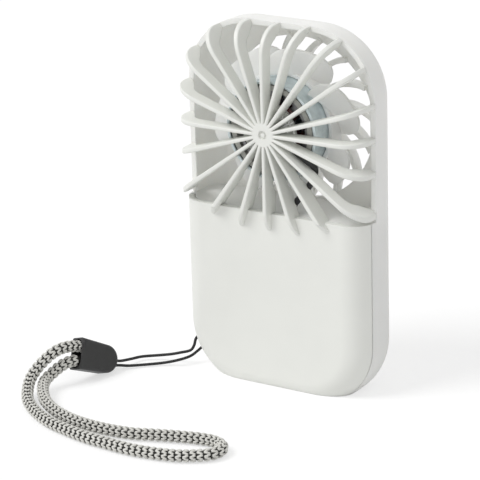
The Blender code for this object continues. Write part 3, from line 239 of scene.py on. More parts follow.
# Leg of a stitch: shares of the stitch along, of the column across and of the yarn down
LEG_SHARES = (0.0, 0.17, 0.34, 0.5, 0.67, 0.84, 1.0)
LEG_START = 0.15
LEG_REACH = 0.7
LEG_EDGE = 0.47
LEG_SLANT = 0.40
LEG_FIRST_DIP = 0.5
LEG_LAST_DIP = 0.25

# Foam pad
PAD_STEPS = 8
PAD_SWELL = 0.6 * MM
PAD_CORNER = 1.5 * MM
PAD_SMOOTH_ANGLE = radians(50.0)

# How far light runs in the white plastic
LIGHT_DEPTH = 2.0 * MM

# Fineness of the round forms
ROUND_STEPS = 96
HUB_STEPS = 48
SMALL_STEPS = 36
CORNER_STEPS = 18
FILLET_STEPS = 12
ROUND_OFF_STEPS = 3
OUTLINE_STEPS = 8
EDGE_STEPS = 5
DISC_EDGE_STEPS = 4
KEY_EDGE_STEPS = 6
FOOT_STEPS = 6
SWIRL_STEPS = 18
BLADE_SPAN_STEPS = 12
BLADE_CHORD_STEPS = 20
SOLVE_STEPS = 26

# Camera
CAMERA_PLACE = Vector((0.333566, -0.549513, 0.264194))
CAMERA_YAW = radians(32.405)
CAMERA_PITCH = radians(19.252)
CAMERA_ROLL = radians(-1.621)
SENSOR_WIDTH = 36.0
LAMP_DIRECTION = Vector((-0.42, -0.50, 0.76))
FLOOR_HALF_WIDTH = 3.0


# Settings

def srgb(red, green, blue):
    """Linear colour from screen levels of 0 to 255."""
    levels = [value / 255 for value in (red, green, blue)]
    return tuple(v / 12.92 if v <= 0.04045 else ((v + 0.055) / 1.055) ** 2.4 for v in levels)


def setting(kind=FloatProperty, **fixed):
    """Maker of the settings of one kind."""
    def make(name, default, description):
        return kind(name=name, default=default, description=description, **fixed)
    return make


length = setting(min=0.0, precision=5, subtype="DISTANCE", unit="LENGTH")
angle = setting(subtype="ANGLE", unit="ROTATION")
amount = setting(min=0.0)
number = setting(IntProperty, min=1)
colour = setting(FloatVectorProperty, size=3, min=0.0, max=1.0, subtype="COLOR")


class HousingSizes(PropertyGroup):
    """Sizes of the two half shells."""

    width: length("Width", 57.0 * MM, "Across the housing")
    height: length("Height", 100.0 * MM, "From the base to the top of the housing")
    thickness: length("Thickness", 18.8 * MM, "From the rear face to the front face")
    corner: length("Corner", 19.0 * MM, "Radius of the outline's corners")
    base_cut: length("Base cut", 4.0 * MM, "How much of the lower corners the flat base cuts off")
    fillet: length("Face rounding", 7.2 * MM, "Radius between the faces and the side wall")
    wall: length("Wall", 1.5 * MM, "Thickness of the moulded wall")
    hub: length("Hub height", 71.8 * MM, "Height of the fan's axis above the base")
    shelf: length("Shelf height", 49.6 * MM, "Height of the shelf between impeller and battery")


class CageSizes(PropertyGroup):
    """Sizes of the cage of ribs at the rear."""

    ribs: number("Ribs", 20, "Ribs round the hub")
    depth: length("Depth", 11.8 * MM, "From the middle plane to the cage's face")
    fillet: length("Shoulder", 7.0 * MM, "Radius of the ribs' shoulder")
    above: length("Reach above", 28.2 * MM, "From the hub to the cage's top")
    below: length("Reach below", 28.5 * MM, "From the hub to the panel's edge")
    thin: length("Rib at the hub", 0.9 * MM, "Thickness of a rib at the hub")
    thick: length("Rib at the rim", 1.3 * MM, "Thickness of a rib at the rim")
    edge: length("Rib edge", 0.3 * MM, "Rounding of a rib's edges")


class GrilleSizes(PropertyGroup):
    """Sizes of the swirl grille at the front."""

    opening: length("Opening", 22.3 * MM, "Radius of the air outlet")
    ribs: number("Ribs", 16, "Curved ribs of the grille")
    disc: length("Disc", 9.0 * MM, "Radius of the plate in the middle")
    thickness: length("Rib", 1.5 * MM, "Thickness of a curved rib")
    depth: length("Depth", 4.0 * MM, "Depth of a curved rib")
    bulge: length("Bulge", 2.2 * MM, "How far the grille stands out of the face")


class ImpellerSizes(PropertyGroup):
    """Sizes of the impeller."""

    blades: number("Blades", 7, "Blades round the sleeve")
    tip: length("Tip", 21.3 * MM, "Radius of the blades' tips")
    root: length("Root", 14.25 * MM, "Radius of the blades' roots")
    half_depth: length("Half depth", 4.3 * MM, "Half of a blade's depth along the axis")
    thickness: length("Thickness", 1.2 * MM, "Thickness of a blade in its middle")
    turn: angle("Turn", radians(21.2), "Direction of the first blade at rest")


class StrapSizes(PropertyGroup):
    """Sizes of the knitted wrist strap."""

    diameter: length("Diameter", 3.5 * MM, "Across the strap")
    stitch: length("Stitch", 1.75 * MM, "Length of one stitch")
    columns: number("Columns", 6, "Columns of stitches round the strap")
    yarn: length("Yarn", 0.64 * MM, "Width of the yarn")


class Finishes(PropertyGroup):
    """Colours of the pieces."""

    rear: colour("Rear cover", srgb(240, 241, 236), "Moulded panel and cage")
    front: colour("Front cover", srgb(248, 248, 244), "Moulded walls and grille")
    blade: colour("Blades", srgb(249, 249, 246), "Moulded impeller")
    key: colour("Key", srgb(238, 238, 234), "Power key")
    clip: colour("Clip", srgb(42, 42, 43), "Clip between cord and strap")
    cord: colour("Cord", srgb(22, 22, 23), "Thin cord")
    yarn: colour("Yarn", srgb(236, 235, 229), "Yarn of the strap")
    # Painted shade: the dark core under the stitches stands in for the shade in the gaps between them
    core: colour("Core", srgb(52, 52, 49), "Dark gaps between the stitches")
    wire: colour("Wire", srgb(96, 36, 34), "Enamel on the windings")
    steel: colour("Steel", srgb(176, 176, 174), "Bell, shaft and screws")


class StageSizes(PropertyGroup):
    """Camera and light."""

    lens: FloatProperty(name="Lens", description="Focal length in millimetres", default=190.36, min=1.0)
    key: amount("Key light", 1.46, "Strength of the soft lamp at the left")
    softness: angle("Softness", radians(28.0), "Angle over which the lamp spreads")
    sky: amount("Sky", 0.57, "Strength of the even light all round")
    floor: amount("Floor", 0.86, "Brightness of the floor")
    glow: amount("Glow", 0.6, "Share of the floor's white that its shadows do not darken")
    shade: amount("Shade", 0.48, "Share of the floor's white that its shadows darken")


def reader(name):
    """Function that gives one group of the scene's settings."""
    return lambda: getattr(bpy.context.scene, name)


GROUPS = {
    "fan_housing": HousingSizes,
    "fan_cage": CageSizes,
    "fan_grille": GrilleSizes,
    "fan_impeller": ImpellerSizes,
    "fan_strap": StrapSizes,
    "fan_finishes": Finishes,
    "fan_stage": StageSizes,
}
housing, cage, grille, impeller, strap, finishes, stage_sizes = (reader(name) for name in GROUPS)


# Shader maths

class Signal:
    """Value inside a finish, on which Python's operators add Math nodes."""

    def __init__(self, finish, socket):
        self.finish = finish
        self.socket = socket

    def maths(self, operation, *others):
        """This value through a Math node."""
        return self.finish.add("ShaderNodeMath", {"operation": operation}, dict(enumerate((self, *others))))

    def __add__(self, other):
        return self.maths("ADD", other)

    def __mul__(self, other):
        return self.maths("MULTIPLY", other)

    def __sub__(self, other):
        return self.maths("SUBTRACT", other)

    def __rsub__(self, other):
        return self * -1.0 + other

    __radd__ = __add__
    __rmul__ = __mul__


class Nodes:
    """Node tree of a material or of the sky."""

    def __init__(self, tree):
        self.tree = tree

    def join(self, value, socket):
        """Link a signal to a socket, or write a plain value on it."""
        if isinstance(value, Signal):
            self.tree.links.new(value.socket, socket)
        else:
            socket.default_value = value

    def add(self, kind, settings, values, output=0):
        """Node of a kind with its settings and the values or links of its sockets."""
        node = self.tree.nodes.new(kind)
        for name, value in settings.items():
            if name == "stops":
                fill_ramp(node, value)
            else:
                setattr(node, name, value)
        for key, value in values.items():
            self.join(value, node.inputs[key])
        return Signal(self, node.outputs[output])

    def seen(self):
        """One for rays of the camera, of reflections and of glass, zero for spread light."""
        outputs = self.add("ShaderNodeLightPath", {}, {}).socket.node.outputs
        result = Signal(self, outputs["Is Camera Ray"])
        for name in ("Is Glossy Ray", "Is Transmission Ray"):
            result = result.maths("MAXIMUM", Signal(self, outputs[name]))
        return result


class Finish(Nodes):
    """Material with one main shader, built node by node."""

    def __init__(self, name, base, roughness, **fixed):
        self.material = bpy.data.materials.new(name)
        self.material.use_nodes = True
        super().__init__(self.material.node_tree)
        self.shader = self.tree.nodes["Principled BSDF"]
        self.set("Base Color", (*base, 1.0))
        self.set("Roughness", roughness)
        for key, value in fixed.items():
            self.set(key.replace("_", " ").title().replace("Ior", "IOR"), value)

    def set(self, name, value):
        """Give a socket of the main shader its value or link."""
        self.join(value, self.shader.inputs[name])

    def place(self):
        """Position in the piece's own frame."""
        return self.add("ShaderNodeTexCoord", {}, {}, "Object")

    def texture(self, kind, settings, values, stretch=None):
        """Pattern in the piece's own frame."""
        vector = self.place()
        if stretch:
            vector = self.add("ShaderNodeVectorMath", {"operation": "MULTIPLY"}, {0: vector, 1: stretch})
        return self.add(f"ShaderNodeTex{kind}", settings, {"Vector": vector, **values})

    def noise(self, scale, detail=2.0, roughness=0.5, stretch=None):
        """Cloudy value of about one half."""
        values = {"Scale": scale, "Detail": detail, "Roughness": roughness}
        return self.texture("Noise", {}, values, stretch)

    def ramp(self, value, *stops):
        """Value through a ramp of grey stops."""
        colours = [(place, (level, level, level, 1.0)) for place, level in stops]
        return self.add("ShaderNodeValToRGB", {"stops": colours}, {0: value})

    def blend(self, share, first, second):
        """Colour between two colours."""
        ends = {0: share, 6: opaque(first), 7: opaque(second)}
        return self.add("ShaderNodeMix", {"data_type": "RGBA"}, ends, 2)

    def tinted(self, base, share, change):
        """Base colour that grows a little darker or lighter by a share."""
        self.set("Base Color", self.blend(share, base, tuple(min(1.0, c * change) for c in base)))

    def rough(self, low, high, share):
        """Roughness between two values."""
        self.set("Roughness", share * (high - low) + low)

    def bump(self, height, depth, strength=1.0, soft_edges=0.0):
        """Relief of a depth in metres, perhaps over softly rounded edges."""
        values = {"Height": height, "Strength": strength, "Distance": depth}
        if soft_edges:
            values["Normal"] = self.add("ShaderNodeBevel", {"samples": 4}, {"Radius": soft_edges})
        self.set("Normal", self.add("ShaderNodeBump", {}, values))


def opaque(value):
    """A plain colour with full cover, or a signal as it is."""
    return value if isinstance(value, Signal) else (*value, 1.0)


def fill_ramp(node, stops):
    """Give a ramp its stops."""
    elements = node.color_ramp.elements
    while len(elements) < len(stops):
        elements.new(1.0)
    for element, (place, value) in zip(elements, stops):
        element.position = place
        element.color = value


# Finishes

def moulded_finish(name, base, low=0.38, high=0.5, soft_edges=0.25 * MM, **fixed):
    """Matt moulded plastic with a fine grain and softly rounded edges."""
    finish = Finish(name, base, high, **fixed)
    cloud = finish.noise(60.0, 3.0)
    finish.tinted(base, finish.ramp(cloud, (0.35, 0.0), (0.7, 1.0)), 0.975)
    finish.rough(low, high, cloud)
    finish.bump(finish.noise(5200.0), 0.012 * MM, 0.35, soft_edges)
    return finish.material


def white_finish(name, base, low=0.38, high=0.5, soft_edges=0.25 * MM):
    """White moulded plastic, thin enough to let some light through."""
    return moulded_finish(name, base, low, high, soft_edges, subsurface_weight=0.5,
                          subsurface_scale=LIGHT_DEPTH, subsurface_radius=(1.0, 0.97, 0.93))


def turned_finish(name, base, roughness):
    """Metal with fine rings round the fan's axis."""
    finish = Finish(name, base, roughness, metallic=1.0)
    parts = finish.add("ShaderNodeSeparateXYZ", {}, {0: finish.place()})
    across = Signal(finish, parts.socket.node.outputs["X"])
    up = Signal(finish, parts.socket.node.outputs["Z"]) - housing().hub
    radius = (across * across + up * up).maths("SQRT")
    lines = finish.add("ShaderNodeTexNoise", {"noise_dimensions": "1D"}, {"W": radius, "Scale": 9000.0})
    haze = finish.noise(400.0, 3.0)
    finish.rough(roughness * 0.8, roughness * 1.4, haze)
    finish.tinted(base, finish.ramp(haze, (0.4, 0.0), (0.75, 1.0)), 0.85)
    finish.bump(lines, 0.01 * MM, 0.5)
    return finish.material


def patterned(name, base, roughness, pattern, tint, rough=None, relief=None, stops=None, **fixed):
    """Finish whose tint, roughness and relief follow one pattern."""
    finish = Finish(name, base, roughness, **fixed)
    value = pattern(finish)
    finish.tinted(base, finish.ramp(value, *stops) if stops else value, tint)
    if rough:
        finish.rough(*rough, value)
    if relief:
        finish.bump(value, *relief)
    return finish.material


def cast_finish(name, base, roughness, metallic, scale=1400.0):
    """Dull surface with a coarse grain."""
    rough = (roughness * 0.8, min(1.0, roughness * 1.2))
    return patterned(name, base, roughness, lambda finish: finish.noise(scale, 4.0, 0.65), 0.6, rough,
                     (0.03 * MM, 0.6), metallic=metallic)


def laminate_finish(base):
    """Stack of thin sheets along the fan's axis."""
    return patterned("stator_sheets", base, 0.42, lambda finish: finish.texture(
        "Wave", {"bands_direction": "Y"}, {"Scale": 640.0, "Distortion": 0.3}), 0.45,
        relief=(0.05 * MM, 0.8), metallic=0.85)


def enamel_finish(base):
    """Lacquered wire."""
    return patterned("wire_enamel", base, 0.3, lambda finish: finish.noise(900.0), 0.55, (0.22, 0.4),
                     coat_weight=0.6, coat_roughness=0.12)


def tracks(finish):
    """Thin lines round square cells."""
    cells = finish.texture("Voronoi", {"feature": "DISTANCE_TO_EDGE", "distance": "MANHATTAN"},
                           {"Scale": 420.0})
    return finish.ramp(cells, (0.05, 1.0), (0.09, 0.0))


def board_finish(name, base):
    """Solder mask with faint tracks under it."""
    return patterned(name, base, 0.35, tracks, 1.9, relief=(0.03 * MM, 0.6), coat_weight=0.3)


def wrapper_finish(base):
    """Foil pouch with soft wrinkles."""
    return patterned("cell_pouch", base, 0.36, lambda finish: finish.noise(240.0, 4.0, 0.6, (1.0, 1.0, 0.35)),
                     0.7, (0.28, 0.46), (0.12 * MM, 0.7), metallic=0.55)


def foam_finish(base):
    """Open foam."""
    return patterned("foam_cells", base, 0.95,
                     lambda finish: finish.texture("Voronoi", {}, {"Scale": 2200.0}), 0.4,
                     relief=(0.12 * MM, 0.9))


def lamp_finish(base):
    """Cloudy light pipe."""
    return patterned("lamp_pipe", base, 0.18, lambda finish: finish.noise(1500.0), 0.86, (0.12, 0.26),
                     coat_weight=0.4)


def yarn_finish(base):
    """Spun fibre with fuzzy light and dark strands."""
    return patterned("strap_yarn", base, 0.86, lambda finish: finish.noise(2600.0, 3.0, 0.6), 0.72,
                     (0.74, 0.95), (0.05 * MM, 0.7), ((0.3, 0.0), (0.72, 1.0)),
                     sheen_weight=0.25, sheen_roughness=0.5)


def strands(finish):
    """Slanting bands along and round a cord."""
    values = {"Vector": finish.add("ShaderNodeUVMap", {}, {}), "Scale": 1.0, "Distortion": 0.6}
    return finish.add("ShaderNodeTexWave", {"bands_direction": "DIAGONAL"}, values)


def corded_finish(base):
    """Thin braided cord."""
    return patterned("black_braid", base, 0.7, strands, 2.2, (0.55, 0.85), (0.06 * MM, 0.9))


# Meshes

def turn(step, steps):
    """Angle of one step of a full turn."""
    return tau * step / steps


def join_rings(mesh, near, far):
    """Faces between two rings of equal length, or a ring and a point."""
    count = max(len(near), len(far))
    for step in range(count):
        after = (step + 1) % count
        corners = [near[place % len(near)] for place in (step, after)]
        corners += [far[place % len(far)] for place in (after, step)]
        mesh.faces.new(tuple(dict.fromkeys(corners)))


def finished(mesh):
    """The mesh with its faces pointing out."""
    bmesh.ops.recalc_face_normals(mesh, faces=mesh.faces)
    return mesh


def loft(rings, bent=False):
    """Closed body through rings of equal length, its bent caps made of strips."""
    mesh = bmesh.new()
    layers = [[mesh.verts.new(point) for point in ring] for ring in rings]
    for near, far in zip(layers, layers[1:]):
        join_rings(mesh, near, far)
    for ring in (layers[0], layers[-1]):
        if bent:
            count = len(ring)
            for near in range(count // 2 - 1):
                mesh.faces.new((ring[near], ring[near + 1], ring[count - 2 - near], ring[count - 1 - near]))
        else:
            mesh.faces.new(ring)
    return finished(mesh)


def turned(profile, steps=ROUND_STEPS):
    """Body turned about Y from a closed profile of radius and y."""
    mesh = bmesh.new()
    rings = []
    for radius, y in profile:
        angles = [turn(step, steps) for step in range(steps if radius > 0 else 1)]
        rings.append([mesh.verts.new((radius * cos(a), y, radius * sin(a))) for a in angles])
    for near, far in zip(rings, rings[1:] + rings[:1]):
        if len(near) + len(far) > 2:
            join_rings(mesh, near, far)
    return finished(mesh)


def extruded(outline, start, end, axis=1):
    """Flat body between two places on axis 0, 1 or 2, from an outline across it."""
    return loft([[(*point[:axis], place, *point[axis:]) for point in outline] for place in (start, end)])


def arc(centre_x, centre_z, radius, start, end, steps):
    """Points along an arc, both ends included."""
    angles = [start + (end - start) * step / steps for step in range(steps + 1)]
    return [(centre_x + radius * cos(a), centre_z + radius * sin(a)) for a in angles]


def rounded(width, height, radius, centre=(0.0, 0.0), steps=OUTLINE_STEPS):
    """Outline of a rectangle with round corners."""
    across = width / 2 - radius
    up = height / 2 - radius
    quarter = pi / 2
    points = []
    for corner, (x, z) in enumerate(((across, up), (-across, up), (-across, -up), (across, -up))):
        start = corner * quarter
        points += arc(centre[0] + x, centre[1] + z, radius, start, start + quarter, steps)
    return points


def moved(mesh, matrix):
    """The mesh carried through a matrix."""
    bmesh.ops.transform(mesh, matrix=matrix, verts=mesh.verts)
    return mesh


def at(x, y, z):
    """Matrix that shifts a mesh."""
    return Matrix.Translation((x, y, z))


def spun(turned_by, axis):
    """Matrix that turns a mesh about an axis."""
    return Matrix.Rotation(turned_by, 4, axis)


def about_hub(mesh):
    """The mesh lifted to the fan's axis."""
    return moved(mesh, at(0, 0, housing().hub))


def disc(radius, rear, front, x=0.0, z=0.0, steps=SMALL_STEPS):
    """Round body along Y."""
    profile = ((0.0, rear), (radius, rear), (radius, front), (0.0, front))
    return moved(turned(profile, steps), at(x, 0, z))


def quarter_steps(steps=ROUND_OFF_STEPS):
    """Sines and cosines over a quarter turn."""
    angles = [pi / 2 * step / steps for step in range(steps + 1)]
    return [(sin(a), cos(a)) for a in angles]


def round_edge(radius, y, width, drop, steps=EDGE_STEPS):
    """Rounded edge, from its face at y out to its side at a radius."""
    return [(radius - width * (1 - s), y + drop * (1 - c)) for s, c in quarter_steps(steps)]


# Pieces

def linked(name, data):
    """Object in the scene."""
    result = bpy.data.objects.new(name, data)
    bpy.context.scene.collection.objects.link(result)
    return result


def raw_object(name, mesh):
    """Object from a mesh, before its finish."""
    data = bpy.data.meshes.new(name)
    mesh.to_mesh(data)
    mesh.free()
    return linked(name, data)


def combined(name, base, *steps):
    """Object from a base mesh after booleans, given as an operation and its bodies."""
    result = raw_object(name, base)
    helpers = []
    for operation, bodies in steps:
        group = bpy.data.collections.new(f"{name}_{operation.lower()}")
        bpy.context.scene.collection.children.link(group)
        for body in bodies:
            helper = raw_object(f"{group.name}_{len(group.objects)}", body)
            bpy.context.scene.collection.objects.unlink(helper)
            group.objects.link(helper)
            helpers.append(helper)
        modifier = result.modifiers.new(group.name, "BOOLEAN")
        modifier.operation = operation
        modifier.solver = "EXACT"
        modifier.operand_type = "COLLECTION"
        modifier.collection = group
    settle(result)
    for helper in helpers:
        bpy.data.objects.remove(helper, do_unlink=True)
    return result


def settle(item):
    """Turn an object's modifiers into its mesh."""
    bpy.context.view_layer.update()
    graph = bpy.context.evaluated_depsgraph_get()
    data = bpy.data.meshes.new_from_object(item.evaluated_get(graph), depsgraph=graph)
    item.modifiers.clear()
    item.data = data


def smooth(item, angle_limit=SMOOTH_ANGLE):
    """Shade smooth, with even light on flat faces and sharp corners kept."""
    item.data.shade_smooth()
    item.data.set_sharp_from_angle(angle=angle_limit)
    weights = item.modifiers.new("weights", "WEIGHTED_NORMAL")
    weights.keep_sharp = True
    settle(item)
    return item


def dress(item, body, slot, surface, *nodes):
    """Give a piece its finish, the body that it rides on and the nodes that it stands for."""
    if item.data.materials:
        item.data.materials.clear()
    item.data.materials.append(surface)
    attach(item, body)
    if nodes:
        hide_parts(*nodes)
    return item


def repaint(surface, *names):
    """Better finish for nodes that stay."""
    for name in names:
        for slot in frame["nodes"][name].material_slots:
            slot.material = surface


# Housing outlines

def front_face():
    """Depth of the flat front face, which the rear face mirrors."""
    return housing().thickness / 2


def housing_inset(y, wall=0.0):
    """How far the housing's surface at y, or its inner face a wall deep, lies inside the outline."""
    fillet = housing().fillet
    depth = abs(y) - front_face() + fillet
    if depth <= 0:
        return wall
    return fillet - sqrt(max((fillet - wall) ** 2 - depth ** 2, 0.0))


def housing_outline(inset, floor=0.0, top=None):
    """Outline of the housing, drawn in by inset, cut flat at the floor and perhaps at a top."""
    sizes = housing()
    corner_x = sizes.width / 2 - sizes.corner
    low = sizes.corner - sizes.base_cut
    radius = sizes.corner - inset
    lowest = -asin(min(1.0, (low - floor) / radius))
    right = arc(corner_x, low, radius, lowest, 0.0, CORNER_STEPS)
    if top is None:
        right += arc(corner_x, sizes.height - sizes.corner, radius, 0.0, pi / 2, CORNER_STEPS)
    else:
        right.append((sizes.width / 2 - inset, top))
    return right + [(-x, z) for x, z in reversed(right)]


def housing_levels(start, end, wall=0.0):
    """Depths at which the rounded housing needs a ring, from start to end."""
    radius = housing().fillet - wall
    first = front_face() - housing().fillet
    rounds = [first + radius * sine for sine, _ in quarter_steps(FILLET_STEPS)]
    marks = sorted([-y for y in rounds] + rounds)
    return [start] + [y for y in marks if start + LEVEL_GAP < y < end - LEVEL_GAP] + [end]


def housing_body(start, end, wall=0.0, floor=0.0, top=None):
    """Solid or hollow of the housing between two depths."""
    rings = []
    for y in housing_levels(start, end, wall):
        rings.append([(x, y, z) for x, z in housing_outline(housing_inset(y, wall), floor, top)])
    return loft(rings)


# Cage

def cage_distance(x, z):
    """Signed distance from a point about the hub to the cage's outline, negative inside."""
    if housing().shelf - housing().hub < z < 0:
        return abs(x) - housing().width / 2
    corner = housing().corner
    half_height = cage().above if z > 0 else cage().below
    over_x = abs(x) - housing().width / 2 + corner
    over_z = abs(z) - half_height + corner
    outside = hypot(max(over_x, 0.0), max(over_z, 0.0))
    return outside + min(max(over_x, over_z), 0.0) - corner


def beside(spoke, reach, side):
    """X and Z of a point along a spoke and to its side, about the hub."""
    return reach * cos(spoke) - side * sin(spoke), reach * sin(spoke) + side * cos(spoke)


def cage_reach(spoke, side, inset):
    """How far a line beside a spoke runs before it meets the outline, drawn in by inset."""
    near = 0.0
    far = housing().width
    for _ in range(SOLVE_STEPS):
        middle = (near + far) / 2
        if cage_distance(*beside(spoke, middle, side)) < -inset:
            near = middle
        else:
            far = middle
    return near


def rib_outline(spoke, side, round_off):
    """Closed outline of a cage rib in reach and y, its outer edge drawn in by round_off."""
    sizes = cage()
    shoulder = sizes.depth - sizes.fillet
    on_panel = cos(spoke + pi / 2) > cos(PANEL_RIB_HALF_ANGLE)
    last = asin((front_face() - EMBED - shoulder) / sizes.fillet) if on_panel else 0.0
    points = [(RIB_START, -sizes.depth + round_off)]
    for step in range(FILLET_STEPS + 1):
        t = pi / 2 + (last - pi / 2) * step / FILLET_STEPS
        inset = sizes.fillet - (sizes.fillet - round_off) * cos(t)
        y = -shoulder - (sizes.fillet - round_off) * sin(t)
        points.append((cage_reach(spoke, side, inset), y))
    if on_panel:
        inner = -shoulder - RIB_INNER_FILLET + PANEL_RIB_EXTRA
        points.append((cage_reach(spoke, side, sizes.fillet), inner))
        points.append((PANEL_RIB_REACH[1], inner))
        points.append((PANEL_RIB_REACH[0], -sizes.depth + RIB_HUB_DEPTH))
    else:
        points += rib_foot(spoke, side, round_off, shoulder)
    points.append((RIB_START, -sizes.depth + RIB_HUB_DEPTH))
    return points


def rib_foot(spoke, side, round_off, shoulder):
    """Lower part of a rib's outline, from its foot on the rim to the inner fillet."""
    foot = -RIM_DEPTH - FOOT_GAP
    points = [(cage_reach(spoke, side, round_off), foot), (cage_reach(spoke, side, housing().wall), foot)]
    for sine, cosine in quarter_steps(FOOT_STEPS)[1:]:
        inset = cage().fillet - RIB_INNER_FILLET * cosine
        points.append((cage_reach(spoke, side, inset), -shoulder - RIB_INNER_FILLET * sine))
    return points


def rib_body(spoke):
    """One cage rib, from the hub over the shoulder to its foot."""
    sizes = cage()
    rounds = quarter_steps()
    edges = [(-1, s, c) for s, c in rounds] + [(1, s, c) for s, c in reversed(rounds)]
    layers = []
    for sign, sine, cosine in edges:
        round_off = sizes.edge * (1 - sine)
        drawn_in = sizes.edge * (1 - cosine)
        middle_side = sign * (sizes.thick / 2 - drawn_in)
        layer = []
        for reach, y in rib_outline(spoke, middle_side, round_off):
            share = (reach - RIB_START) / (housing().width / 2 - RIB_START)
            side = sign * ((sizes.thin + (sizes.thick - sizes.thin) * share) / 2 - drawn_in)
            x, z = beside(spoke, reach, side)
            layer.append((x, y, z))
        layers.append(layer)
    return about_hub(loft(layers))


def hub_body():
    """Disc in the middle of the cage with a dimple and the socket for the bearing tube."""
    depth = cage().depth
    edge = round_edge(HUB_DISC_RADIUS, -depth, HUB_EDGE_ROUND, HUB_EDGE_ROUND)
    groove = -depth + DIMPLE_DEPTH
    profile = [(0.0, -depth + DIMPLE_PIN_DEPTH), (DIMPLE_PIN, -depth + DIMPLE_PIN_DEPTH),
               (DIMPLE_PIN + DIMPLE_SLOPE, groove), (DIMPLE_RADIUS - DIMPLE_SLOPE, groove),
               (DIMPLE_RADIUS, -depth)] + edge + [
        (HUB_DISC_RADIUS, -BOSS_ROOT_DEPTH), (BOSS_RADIUS, -BOSS_ROOT_DEPTH), (BOSS_RADIUS, -BOSS_DEPTH),
        (BOSS_BORE, -BOSS_DEPTH), (BOSS_BORE, -depth + HUB_FLOOR), (0.0, -depth + HUB_FLOOR),
    ]
    return about_hub(turned(profile, HUB_STEPS))


def rear_cover():
    """Panel over the battery and cage over the impeller, moulded in one."""
    sizes = housing()
    panel = housing_body(-front_face(), -PARTING_DEPTH, top=sizes.shelf)
    room = housing_body(sizes.wall - front_face(), -PARTING_DEPTH + OVERRUN, sizes.wall, sizes.wall,
                        sizes.shelf + OVERRUN)
    ribs = [rib_body(turn(step, cage().ribs)) for step in range(cage().ribs)]
    return smooth(combined("rear_cover", panel, ("DIFFERENCE", [room]), ("UNION", ribs + [hub_body()])))


# Front cover

def swirl_front(radius):
    """Depth of the bulged grille's front at a radius."""
    return front_face() + grille().bulge * (1 - (radius / grille().opening) ** 3)


def swirl_body(start_angle):
    """One swirl rib from the housing's face to the grille's disc, with round edges."""
    sizes = grille()
    first = sizes.disc - SWIRL_ROOT
    last = sizes.opening + SWIRL_ROOT
    rings = []
    bearing = start_angle
    for step in range(SWIRL_STEPS + 1):
        share = step / SWIRL_STEPS
        radius = last + (first - last) * share
        slant = SWIRL_OUTER_SLANT + (SWIRL_INNER_SLANT - SWIRL_OUTER_SLANT) * share
        if step:
            bearing += tan(slant) * (last - first) / SWIRL_STEPS / radius
        along = bearing - slant
        depth = sizes.depth - (sizes.depth - SWIRL_RIM_DEPTH) * (radius / last) ** 4
        front = swirl_front(radius) - (0.0 if step else EMBED)
        section = rounded(sizes.thickness, depth, SWIRL_ROUND, (0.0, front - depth / 2), ROUND_OFF_STEPS)
        x = radius * cos(bearing)
        z = radius * sin(bearing)
        rings.append([(x - sin(along) * a, y, z + cos(along) * a) for a, y in section])
    return about_hub(loft(rings))


def swirl_disc():
    """Round plate in the middle of the grille, slightly domed."""
    sizes = grille()
    rear = swirl_front(sizes.disc) - SWIRL_DISC_THICKNESS
    dome = [(sizes.disc * share, swirl_front(sizes.disc * share)) for share in DOME_SHARES]
    edge = round_edge(sizes.disc, swirl_front(sizes.disc), SWIRL_ROOT, -SWIRL_ROOT / 2, DISC_EDGE_STEPS)
    profile = [(0.0, swirl_front(0.0))] + dome + edge + [(sizes.disc, rear), (0.0, rear)]
    return about_hub(turned(profile))


def shelf_body():
    """Shelf between impeller and battery, with a tongue that reaches into the rear shell."""
    sizes = housing()
    inner_front = front_face() - sizes.wall
    joint = -PARTING_DEPTH + CLEARANCE
    half = []
    runs = ((CLEARANCE - inner_front, joint, -CLEARANCE), (joint, inner_front + EMBED, EMBED))
    for start, end, extra in runs:
        for y in housing_levels(start, end, sizes.wall):
            half.append((sizes.width / 2 - housing_inset(min(y, inner_front), sizes.wall) + extra, y))
    outline = half + [(-x, y) for x, y in reversed(half)]
    return extruded(outline, sizes.shelf - SHELF_THICKNESS, sizes.shelf, 2)


def screw_boss(x, z):
    """Boss on the inner face that a board screw enters."""
    front = front_face() - housing().wall + EMBED
    profile = (
        (0.0, SCREW_BORE_DEPTH), (SCREW_BORE, SCREW_BORE_DEPTH), (SCREW_BORE, SCREW_BOSS_REAR),
        (SCREW_BOSS_RADIUS, SCREW_BOSS_REAR), (SCREW_BOSS_RADIUS, front), (0.0, front),
    )
    return moved(turned(profile, SMALL_STEPS), at(x, 0, z))


def lanyard_hole(sign):
    """Cutter for one of the two cord holes through the corner's wall."""
    sizes = housing()
    bearing = LANYARD_ANGLE + sign * LANYARD_HALF_PITCH / sizes.corner
    reach = sizes.corner - sizes.wall / 2
    x = sizes.corner - sizes.width / 2 + reach * cos(bearing)
    z = sizes.corner - sizes.base_cut + reach * sin(bearing)
    cutter = disc(LANYARD_HOLE_RADIUS, -sizes.wall - OVERRUN, sizes.wall + OVERRUN)
    return moved(cutter, at(x, -LANYARD_DEPTH, z) @ spun(-bearing, "Y") @ spun(-pi / 2, "Z"))


